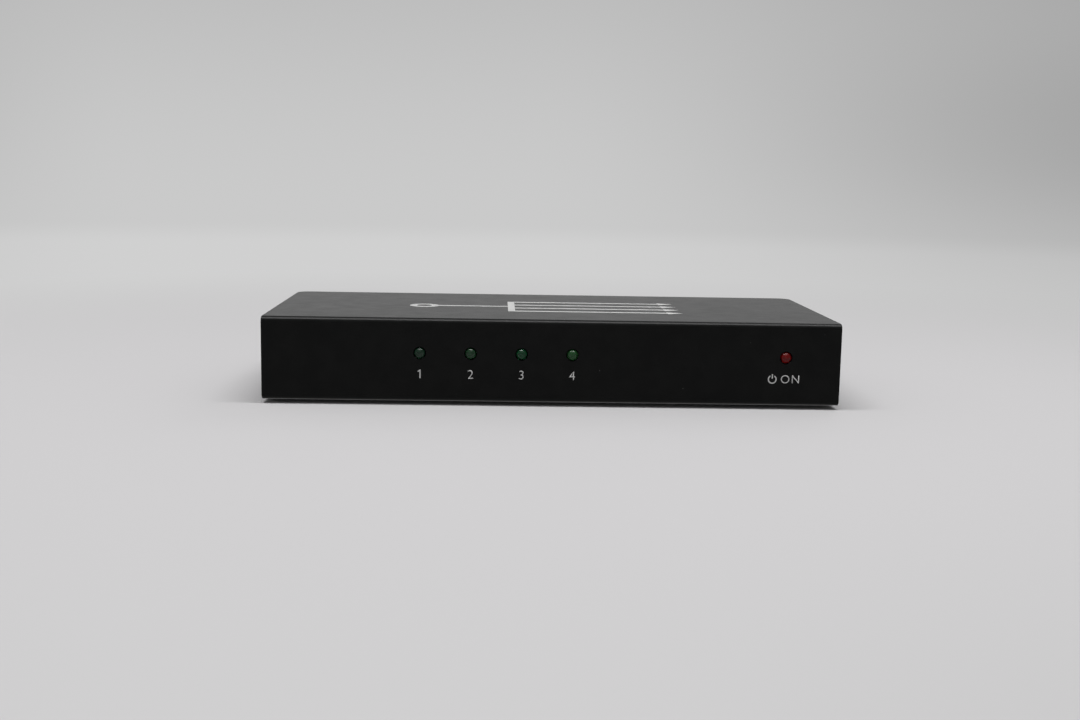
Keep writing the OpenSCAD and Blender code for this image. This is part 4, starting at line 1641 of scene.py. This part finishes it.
@dataclass
class IndicatorLight:
    """A lens with a domed tip, and the cup and post that show inside it.

    The anvil's and the post's places are lengths from the middle of the dome.
    """

    node: str
    slot: str
    shade_of: Colour = (1.0, 1.0, 1.0)
    radius: float = 1.5 * MM
    flange: float = 1.905 * MM
    flange_depth: float = 1.0 * MM
    flat: float = 1.6 * MM
    lens_rim: float = 0.1 * MM
    anvil_start: float = 0.9 * MM
    anvil_length: float = 0.75 * MM
    anvil_radii: Point = (0.78 * MM, 0.5 * MM)
    cup_lip: float = 0.12 * MM
    cup_slope: float = 0.25 * MM
    cup_depth: float = 0.3 * MM
    post_start: float = 1.2 * MM
    post_sides: Point = (0.95 * MM, 1.25 * MM)
    post_half_height: float = 0.25 * MM
    wire_rim: float = 0.04 * MM
    cover_depth: float = 0.1 * MM

    @property
    def box(self) -> NodeBox:
        """The box of the CAD lens."""
        return NodeBox.of(self.node)

    @property
    def centre(self) -> Vector:
        """The middle of the dome, on the lens's axis."""
        low = self.box.low
        return Vector((low.x + self.flange, low.y + self.radius, self.box.middle.z))

    def build(self, wardrobe: Wardrobe) -> None:
        """Models the lens and what is cast into it.

        Args:
            wardrobe: The splitter's materials.
        """
        wardrobe.dye(wardrobe.dress(self.lens(), self.slot, self.node), self.slot, self.shade_of)
        wardrobe.dress(self.lead_frame(), "contact_metal")

    def lens(self) -> bpy.types.Object:
        """Casts the lens: half a ball, a barrel, and a flange with one flat side.

        Returns:
            The lens.
        """
        at = self.centre
        bpy.ops.object.select_all(action="DESELECT")
        bpy.ops.mesh.primitive_uv_sphere_add(
            segments=48, ring_count=24, radius=self.radius, location=at, rotation=(math.pi / 2, 0, 0)
        )
        piece = named(f"{self.node}_lens")
        settle(piece)
        barrel = self.box.high.y - self.flange_depth - at.y
        grow = self.flange / self.radius
        with editing(piece):
            bisect(at, Vector((0, 1, 0)), clear_outer=True)
            pick_edges(piece, lambda middle, way: near(middle.y, at.y))
            extrude(y=barrel)
            extrude()
            resize(at, x=grow, z=grow)
            extrude(y=self.flange_depth)
            bpy.ops.mesh.edge_face_add()
            bisect(at + Vector((self.flat, 0, 0)), Vector((1, 0, 0)), use_fill=True, clear_outer=True)
        heal(piece)
        soften(piece, self.lens_rim, segments=2, degrees=60)
        heal(piece)
        shade(piece, degrees=45)
        return piece

    def lead_frame(self) -> bpy.types.Object:
        """Models the anvil with its cup, and the post beside it, as they stand in the epoxy.

        Returns:
            The two as one piece.
        """
        centre, rear = self.centre, self.box.high.y - self.cover_depth
        at = centre + Vector((0, self.anvil_start, 0))
        wide, narrow = self.anvil_radii
        name = f"{self.node}_anvil"
        piece = rod(name, at, wide, self.anvil_length, Axis.BACK, sides=32, tip_radius=narrow)
        with editing(piece):
            pick_faces(piece, lambda middle, normal: normal.y < -SQUARE)
            bpy.ops.mesh.inset(thickness=self.cup_lip)
            bpy.ops.mesh.inset(thickness=self.cup_slope, depth=-self.cup_depth)
            pick_faces(piece, lambda middle, normal: normal.y > SQUARE)
            extrude(y=rear - at.y - self.anvil_length)
        (left, right), half = self.post_sides, self.post_half_height
        post = block(
            "post", centre + Vector((left, self.post_start, -half)),
            Vector((centre.x + right, rear, centre.z + half)),
        )
        gather(piece, post)
        soften(piece, self.wire_rim, segments=2, degrees=50)
        shade(piece, degrees=40)
        return piece


# How far the colour of each green light lies off its finish, as from four batches
GREEN_SHADES: tuple[Colour, ...] = (
    (0.8, 0.65, 0.85), (1.0, 0.9, 0.9), (0.3, 1.0, 0.85), (1.15, 1.35, 0.9),
)


# Printed marks


@dataclass
class Drawing:
    """Flat marks that are drawn in X and Y round the origin and then printed on a face.

    Name is the name of the piece that it becomes. Ink is the ink's thickness, step is how much higher
    each further mark lies, thinning makes the font's strokes finer, in parts of its own size, and
    straight is the angle in degrees below which an outline counts as straight. The strokes of the
    figure one are shares of its height: two ends and a width.
    """

    name: str
    ink: float = 0.012 * MM
    step: float = 0.002 * MM
    thinning: float = -0.009
    straight: float = 0.5
    one_strokes: tuple[tuple[Point, Point, float], ...] = (
        ((0.06, -0.5), (0.06, 0.5), 0.13),
        ((0.02, 0.409), (-0.2, 0.26), 0.1105),
    )
    marks: list[bpy.types.Object] = field(default_factory=list)

    def word(self, text: str, x: float, y: float, cap: float, spacing: float = 1.0) -> None:
        """Sets a word round a point.

        Args:
            text: The word.
            x: Its middle across.
            y: Its middle up.
            cap: The height of its capitals.
            spacing: The spacing of its letters, where 1 is the font's own.
        """
        bpy.ops.object.select_all(action="DESELECT")
        bpy.ops.object.text_add(location=(0, 0, 0))
        letters = bpy.context.view_layer.objects.active
        letters.data.body = text
        letters.data.space_character = spacing
        letters.data.resolution_u = 6
        letters.data.offset = self.thinning
        bpy.ops.object.convert(target="MESH")
        letters = bpy.context.view_layer.objects.active
        corners = [corner.co for corner in letters.data.vertices]
        lows = [min(corner[axis] for corner in corners) for axis in (0, 1)]
        highs = [max(corner[axis] for corner in corners) for axis in (0, 1)]
        scale = cap / (highs[1] - lows[1])
        middle = Vector(((lows[0] + highs[0]) / 2, (lows[1] + highs[1]) / 2, 0))
        placed = Matrix.Translation((x, y, 0)) @ Matrix.Scale(scale, 4) @ Matrix.Translation(-middle)
        letters.data.transform(placed)
        with editing(letters):
            bpy.ops.mesh.select_all(action="SELECT")
            bpy.ops.mesh.dissolve_degenerate(threshold=HAIR)
            bpy.ops.mesh.dissolve_limited(angle_limit=math.radians(self.straight))
        self.marks.append(letters)

    def number(self, value: int, cap: float) -> None:
        """Draws a plain number round the origin.

        The font's one is a bare stroke, so a one is drawn here, with a flag.

        Args:
            value: The number.
            cap: Its height.
        """
        if value != 1:
            self.word(str(value), 0, 0, cap)
            return
        for (left, low), (right, high), width in self.one_strokes:
            self.bar((left * cap, low * cap), (right * cap, high * cap), width * cap)

    def bar(self, a: Point, b: Point, width: float) -> None:
        """Draws a straight stroke.

        Args:
            a: The middle of one end.
            b: The middle of the other end.
            width: The width of its line.
        """
        start, end = Vector((*a, 0)), Vector((*b, 0))
        along = end - start
        turn = (0, 0, math.atan2(along.y, along.x))
        self.marks.append(sheet("stroke", (start + end) / 2, along.length, width, turn))

    def disc(self, x: float, y: float, radius: float, sides: int = 40) -> bpy.types.Object:
        """Draws a filled disc, or with three sides an arrowhead that points right.

        Args:
            x: Its middle across.
            y: Its middle up.
            radius: Its radius.
            sides: The number of its sides.

        Returns:
            The mark.
        """
        bpy.ops.object.select_all(action="DESELECT")
        bpy.ops.mesh.primitive_circle_add(
            vertices=sides, radius=radius, fill_type="NGON", location=(x, y, 0),
            rotation=(0, 0, -math.pi / 2),
        )
        mark = named("disc")
        settle(mark)
        self.marks.append(mark)
        return mark

    def ring(self, x: float, y: float, radius: float, width: float, gap: Point = (0, 0)) -> None:
        """Draws a ring, closed or with a gap.

        Args:
            x: Its middle across.
            y: Its middle up.
            radius: Its outer radius.
            width: The width of its line.
            gap: The angles in degrees between which it is open.
        """
        mark, middle = self.disc(x, y, radius, sides=60), Vector((x, y, 0))

        def is_open(centre: Vector, _: Vector) -> bool:
            """Tells whether a face is the ring's middle or lies in its gap."""
            away = centre - middle
            angle = math.degrees(math.atan2(away.y, away.x)) % 360
            return away.length < radius / 3 or gap[0] < angle < gap[1]

        with editing(mark):
            bpy.ops.mesh.select_all(action="SELECT")
            bpy.ops.mesh.inset(thickness=width)
            pick_faces(mark, is_open)
            bpy.ops.mesh.delete(type="FACE")

    def print_at(self, facing: Facing, at: Vector) -> bpy.types.Object:
        """Gives the marks the ink's thickness, joins them and lays them on a face.

        Where two marks cross, each lies a little higher than the one before it.

        Args:
            facing: The side that the face looks out of.
            at: Where the drawing's origin lies on the face.

        Returns:
            The printed piece.
        """
        for layer, mark in enumerate(self.marks):
            change(mark, "SOLIDIFY", thickness=self.ink + layer * self.step, offset=1)
        piece = gather(*self.marks)
        piece.name = piece.data.name = self.name
        heal(piece)
        piece.data.transform(Matrix.Translation(at) @ facing.turn)
        return piece


@dataclass
class Prints:
    """Plain numbers, plain words and generic pictograms on the front, the rear wall and the top."""

    digit: float = 2.25 * MM
    digit_height: float = 8.17 * MM
    on_height: float = 7.97 * MM
    on_word: float = 2.1 * MM
    on_spacing: float = 1.15
    on_place: float = 1.2 * MM
    power_place: Point = (-3.4 * MM, -0.05 * MM)
    power_radius: float = 1.15 * MM
    power_gap: Point = (60, 120)
    power_stem: Point = (0.15 * MM, 1.3 * MM)
    port_digit: float = 1.95 * MM
    port_digit_height: float = 4.62 * MM
    port_word: float = 2.1 * MM
    port_spacing: float = 1.12
    port_word_height: float = 16.15 * MM
    polarity_place: Point = (56.8 * MM, 11.9 * MM)
    pole_radius: float = 1.3 * MM
    pole_step: float = 3.55 * MM
    pole_arm: float = 0.75 * MM
    plug_share: float = 0.95
    link_share: float = 0.9
    plug_gap: Point = (40, 140)
    pin_radius: float = 0.45 * MM
    current_height: float = 3.8 * MM
    current_half: float = 3.3 * MM
    current_dash: float = 1.7 * MM
    current_level: float = 0.6 * MM
    stroke: float = 0.3 * MM
    fine_stroke: float = 0.24 * MM
    tree_place: Point = (1.5 * MM, 31.5 * MM)
    tree_xs: tuple[float, float, float] = (-36 * MM, -12 * MM, 30 * MM)
    tree_arrows: int = 4
    tree_pitch: float = 7.6 * MM
    tree_stroke: float = 1.9 * MM
    tree_ring: float = 4.0 * MM
    tree_overlap: float = 0.3 * MM
    arrow: float = 2.8 * MM

    def build(
        self, wardrobe: Wardrobe, case: Case, lights: list[IndicatorLight], sockets: VideoSockets,
        wall: float, jack: PowerJack,
    ) -> None:
        """Prints the front, the rear wall and the top.

        Args:
            wardrobe: The splitter's materials.
            case: The case.
            lights: The lights, of which the last shows power.
            sockets: The video sockets, of which the last is the input.
            wall: Where the rear wall's outer face lies.
            jack: The power jack.
        """
        front = case.cover.low.y

        def lay(mark: Drawing, facing: Facing, x: float, height: float) -> None:
            """Prints a drawing on the front or on the rear wall.

            Args:
                mark: The drawing.
                facing: Which of the two.
                x: The place across it.
                height: The place up it.
            """
            at = Vector((x, front if facing is Facing.FRONT else wall, height))
            slot = "cover_paint" if facing is Facing.FRONT else "frame_paint"
            wardrobe.print_on(mark.print_at(facing, at), slot)

        for number, light in enumerate(lights[:-1], 1):
            mark = Drawing(f"front_number_{number}")
            mark.number(number, self.digit)
            lay(mark, Facing.FRONT, light.centre.x, self.digit_height)
        lay(self.power_mark(), Facing.FRONT, lights[-1].centre.x, self.on_height)
        *outputs, entry = (box.middle.x for box in sockets.boxes)
        for number, x in enumerate(outputs, 1):
            mark = self.socket_word(f"rear_output_word_{number}", "OUTPUT")
            lay(mark, Facing.REAR, x, self.port_word_height)
            mark = Drawing(f"rear_number_{number}")
            mark.number(number, self.port_digit)
            lay(mark, Facing.REAR, x, self.port_digit_height)
        lay(self.socket_word("rear_input_word", "INPUT"), Facing.REAR, entry, self.port_word_height)
        lay(self.polarity(), Facing.REAR, *self.polarity_place)
        lay(self.direct_current(), Facing.REAR, jack.axis.x, self.current_height)
        across, back = self.tree_place
        at = Vector((across, front + back, case.cover.high.z))
        wardrobe.print_on(self.branching().print_at(Facing.TOP, at), "cover_paint")

    def socket_word(self, name: str, text: str) -> Drawing:
        """Draws the plain word that says what a socket is for.

        Args:
            name: The name of the printed piece.
            text: The word.

        Returns:
            The drawing.
        """
        mark = Drawing(name)
        mark.word(text, 0, 0, self.port_word, self.port_spacing)
        return mark

    def power_mark(self) -> Drawing:
        """Draws the common sign for power, and the word ON beside it.

        Returns:
            The drawing.
        """
        mark = Drawing("front_power_mark")
        (x, y), (foot, head) = self.power_place, self.power_stem
        mark.ring(x, y, self.power_radius, self.stroke, self.power_gap)
        mark.bar((x, foot), (x, head), self.stroke)
        mark.word("ON", self.on_place, 0, self.on_word, self.on_spacing)
        return mark

    def polarity(self) -> Drawing:
        """Draws the common sign for a jack whose pin is the positive pole.

        Returns:
            The drawing.
        """
        mark = Drawing("rear_polarity_mark")
        radius, step, arm, stroke = self.pole_radius, self.pole_step, self.pole_arm, self.fine_stroke
        for level in (step, -step):
            mark.ring(0, level, radius, stroke)
            mark.bar((-arm, level), (arm, level), stroke)
            if level > 0:
                mark.bar((0, level - arm), (0, level + arm), stroke)
        mark.ring(0, 0, radius * self.plug_share, stroke, self.plug_gap)
        mark.disc(0, 0, self.pin_radius)
        mark.bar((0, 0), (0, step - radius), stroke)
        mark.bar((0, -radius * self.link_share), (0, radius - step), stroke)
        return mark

    def direct_current(self) -> Drawing:
        """Draws the common sign for direct current: a line over three dashes.

        Returns:
            The drawing.
        """
        mark = Drawing("rear_current_mark")
        half, dash, level = self.current_half, self.current_dash, self.current_level
        mark.bar((-half, level), (half, level), self.stroke)
        for step in (-1, 0, 1):
            x = step * (half - dash / 2)
            mark.bar((x - dash / 2, -level), (x + dash / 2, -level), self.stroke)
        return mark

    def branching(self) -> Drawing:
        """Draws one line that branches into four arrows, which is what the splitter does.

        Returns:
            The drawing.
        """
        mark = Drawing("top_branching_mark")
        (left, trunk, right), width = self.tree_xs, self.tree_stroke
        levels = [(i - (self.tree_arrows - 1) / 2) * self.tree_pitch for i in range(self.tree_arrows)]
        mark.ring(left, 0, self.tree_ring, width)
        mark.bar((left + self.tree_ring - self.tree_overlap, 0), (trunk, 0), width)
        mark.bar((trunk, levels[0] - width / 2), (trunk, levels[-1] + width / 2), width)
        for level in levels:
            mark.bar((trunk, level), (right, level), width)
            mark.disc(right + self.arrow / 2, level, self.arrow, sides=3)
        return mark


# Studio


@dataclass(frozen=True)
class Lamp:
    """A soft rectangular light: its name, its place, what it looks at, its size and its power."""

    name: str
    at: Place
    towards: Place
    size: Point
    watts: float

    def hang(self) -> None:
        """Adds the light."""
        bpy.ops.object.select_all(action="DESELECT")
        bpy.ops.object.light_add(type="AREA", location=self.at)
        lamp = bpy.context.view_layer.objects.active
        lamp.name = self.name
        way = Vector(self.towards) - Vector(self.at)
        lamp.rotation_euler = way.to_track_quat("-Z", "Y").to_euler()
        lamp.data.shape = "RECTANGLE"
        lamp.data.size, lamp.data.size_y = self.size
        lamp.data.energy = self.watts


LAMPS = (
    Lamp("overhead_softbox", (0.0, -0.1, 0.95), (0.0, 0.0, 0.0), (1.2, 0.14), 7.4),
    Lamp("front_softbox", (0.0, -0.55, 0.85), (0.0, 0.0, 0.01), (0.9, 0.4), 1.0),
    Lamp("rear_fill", (0.6, 1.05, 0.8), (0.0, 0.0, 0.01), (0.6, 0.6), 1.5),
)


@dataclass
class Studio:
    """A pale floor and backdrop, soft lights, and the camera at the photograph's angle.

    The backdrop's tone follows the direction from the eye: x is its part to the right and z its part
    upwards, and each span is where one part of the tone starts and ends its change. Yaw, pitch and
    roll are in radians, and lens and sensor in millimetres.
    """

    eye: Place = (-14.57 * MM, -371.1 * MM, 62.07 * MM)
    yaw: float = 0.0333
    pitch: float = -0.1464
    roll: float = 0.0182
    lens: float = 44.65
    sensor: float = 36
    nearest: float = 10 * MM
    floor_size: float = 30
    floor_tone: Colour = (0.575, 0.567, 0.575)
    floor_glow: float = 0.632
    wall_glow: float = 0.59
    horizon_z: Point = (-0.062, -0.045)
    height_z: Point = (-0.045, 0.28)
    height_share: float = 0.735
    right_x: Point = (0.02, 0.5)
    right_shade: float = 0.36
    left_x: Point = (-0.25, -0.5)
    left_shade: float = 0.2
    low_z: Point = (-0.1, 0.02)
    low_share: float = 0.35
    high_z: Point = (0.03, 0.12)
    high_share: float = 0.68
    fade: Point = (0.1, 0.4)
    sky: float = 0.34
    window: Point = (68 * MM, 27 * MM)
    mirror_window: Point = (78 * MM, 37 * MM)

    def build(self) -> None:
        """Sets the floor, the world, the lights and the camera."""
        bpy.context.scene.view_settings.view_transform = "Standard"
        self.backdrop = self.backdrop_tone()
        self.floor()
        self.world()
        for lamp in LAMPS:
            lamp.hang()
        self.camera()

    def seen_directly(self, graph: Graph) -> Any:
        """Tells rays that show the backdrop from rays that light the object.

        Args:
            graph: The graph of a material or of the world.

        Returns:
            An output of 1 for the first and 0 for the second.
        """
        path = graph.add("ShaderNodeLightPath").outputs
        seen = graph.math("ADD", path["Is Camera Ray"], path["Is Glossy Ray"])
        return graph.math("ADD", seen, path["Is Transmission Ray"], clamp=True)

    def backdrop_tone(self) -> bpy.types.NodeTree:
        """Builds the backdrop's tone by direction: palest low down, darker above and to the sides.

        Returns:
            The group, which takes a direction from the photographer's place.
        """
        graph, given, made = new_group(
            "backdrop_tone", {"Direction": "NodeSocketVector"}, {"Colour": "NodeSocketColor"}
        )
        way = graph.add("ShaderNodeVectorMath", {0: given["Direction"]}, operation="NORMALIZE").outputs[0]
        x, _, z = graph.add("ShaderNodeSeparateXYZ", {0: way}).outputs
        glow = graph.math(
            "MULTIPLY", graph.spread(z, *self.horizon_z, self.floor_glow, self.wall_glow),
            graph.spread(z, *self.height_z, 1.0, self.height_share),
        )
        sides = graph.math(
            "ADD", graph.spread(x, *self.right_x, 0.0, self.right_shade),
            graph.spread(x, *self.left_x, 0.0, self.left_shade),
        )
        heights = graph.math(
            "MULTIPLY", graph.spread(z, *self.low_z, self.low_share, 1.0),
            graph.spread(z, *self.high_z, 1.0, self.high_share),
        )
        shade = graph.math("MULTIPLY", sides, heights)
        tone = graph.math("MULTIPLY", glow, graph.math("SUBTRACT", 1.0, shade))
        grey = graph.add("ShaderNodeCombineColor", {0: tone, 1: tone, 2: tone})
        graph.feed(made["Colour"], grey.outputs[0])
        return graph.tree

    def floor(self) -> None:
        """Lays the floor, which fades into the backdrop away from the object.

        It is clear from below, and lets light through under the splitter, so that the underside shows.
        """
        floor = sheet("studio_floor", Vector((0, 0, 0)), self.floor_size, self.floor_size)
        material = bpy.data.materials.new("studio_floor")
        material.use_nodes = True
        graph = Graph(material.node_tree)
        place = graph.add("ShaderNodeTexCoord").outputs["Object"]
        away = graph.add("ShaderNodeVectorMath", {0: place}, operation="LENGTH").outputs["Value"]
        far = graph.math("MULTIPLY", graph.spread(away, *self.fade), self.seen_directly(graph))
        from_eye = graph.add("ShaderNodeVectorMath", {0: place, 1: self.eye}, operation="SUBTRACT")
        tone = graph.place_group(self.backdrop, {"Direction": from_eye.outputs[0]})
        paint = graph.add("ShaderNodeBsdfDiffuse", {"Color": self.floor_tone})
        glow = graph.add("ShaderNodeEmission", {"Color": tone["Colour"]})
        mixed = graph.add("ShaderNodeMixShader", {0: far, 1: paint.outputs[0], 2: glow.outputs[0]})
        x, y, _ = graph.add("ShaderNodeSeparateXYZ", {0: place}).outputs
        path = graph.add("ShaderNodeLightPath").outputs
        soft = graph.math("ADD", path["Is Diffuse Ray"], path["Is Shadow Ray"], clamp=True)
        open_to = graph.add("ShaderNodeNewGeometry").outputs["Backfacing"]
        for rays, (wide, deep) in ((soft, self.window), (path["Is Glossy Ray"], self.mirror_window)):
            across, along = graph.math("COMPARE", x, 0.0, wide), graph.math("COMPARE", y, 0.0, deep)
            under = graph.math("MULTIPLY", graph.math("MULTIPLY", across, along), rays)
            open_to = graph.math("MAXIMUM", open_to, under)
        clear = graph.add("ShaderNodeBsdfTransparent")
        surface = graph.add("ShaderNodeMixShader", {0: open_to, 1: mixed.outputs[0], 2: clear.outputs[0]})
        graph.add("ShaderNodeOutputMaterial", {"Surface": surface.outputs[0]})
        floor.data.materials.append(material)

    def world(self) -> None:
        """Makes the world: the backdrop's colour to the eye, plain soft light to the object."""
        world = bpy.data.worlds.new("studio")
        bpy.context.scene.world = world
        world.use_nodes = True
        graph = Graph(world.node_tree)
        way = graph.add("ShaderNodeTexCoord").outputs["Generated"]
        tone = graph.place_group(self.backdrop, {"Direction": way})
        light = graph.add("ShaderNodeBackground", {"Color": (1.0, 1.0, 1.0), "Strength": self.sky})
        shown = graph.add("ShaderNodeBackground", {"Color": tone["Colour"]})
        mixed = graph.add(
            "ShaderNodeMixShader", {0: self.seen_directly(graph), 1: light.outputs[0], 2: shown.outputs[0]}
        )
        graph.add("ShaderNodeOutputWorld", {"Surface": mixed.outputs[0]})

    def camera(self) -> None:
        """Sets the camera where the photograph was taken from."""
        bpy.ops.object.select_all(action="DESELECT")
        bpy.ops.object.camera_add(location=self.eye)
        camera = bpy.context.view_layer.objects.active
        camera.name = "studio_camera"
        out = math.cos(self.pitch)
        forward = Vector((math.sin(self.yaw) * out, math.cos(self.yaw) * out, math.sin(self.pitch)))
        level = Vector((math.cos(self.yaw), -math.sin(self.yaw), 0))
        upright = level.cross(forward)
        right = level * math.cos(self.roll) + upright * math.sin(self.roll)
        up = right.cross(forward)
        axes = Matrix((right, up, -forward)).transposed()
        camera.rotation_euler = axes.to_euler()
        camera.data.lens = self.lens
        camera.data.sensor_width = self.sensor
        camera.data.clip_start = self.nearest
        bpy.context.scene.camera = camera


def main() -> None:
    """Builds the splitter's pieces in order, and the studio round it."""
    logging.basicConfig(level=logging.INFO, format="%(name)s: %(message)s")
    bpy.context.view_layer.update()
    Studio().build()
    wardrobe = Wardrobe()
    lights = [
        IndicatorLight(f"output_led_{i}", "green_lens", shade_of)
        for i, shade_of in enumerate(GREEN_SHADES, 1)
    ]
    lights.append(IndicatorLight("power_led", "red_lens"))
    case, inner, sockets, jack = Case(), InnerFrame(), VideoSockets(), PowerJack()
    case.build(wardrobe, [light.centre for light in lights])
    holes = [*case.screw_places, *case.corners_of(NodeBox.of("board_screws"))]
    xs = [box.middle.x for box in sockets.boxes]
    inner.build(wardrobe, sockets.outline, xs, jack.housing, holes)
    sockets.build(wardrobe)
    jack.build(wardrobe)
    for light in lights:
        light.build(wardrobe)
    Prints().build(wardrobe, case, lights, sockets, inner.wall, jack)
    wardrobe.dress_nodes()


if __name__ == "__main__":
    main()
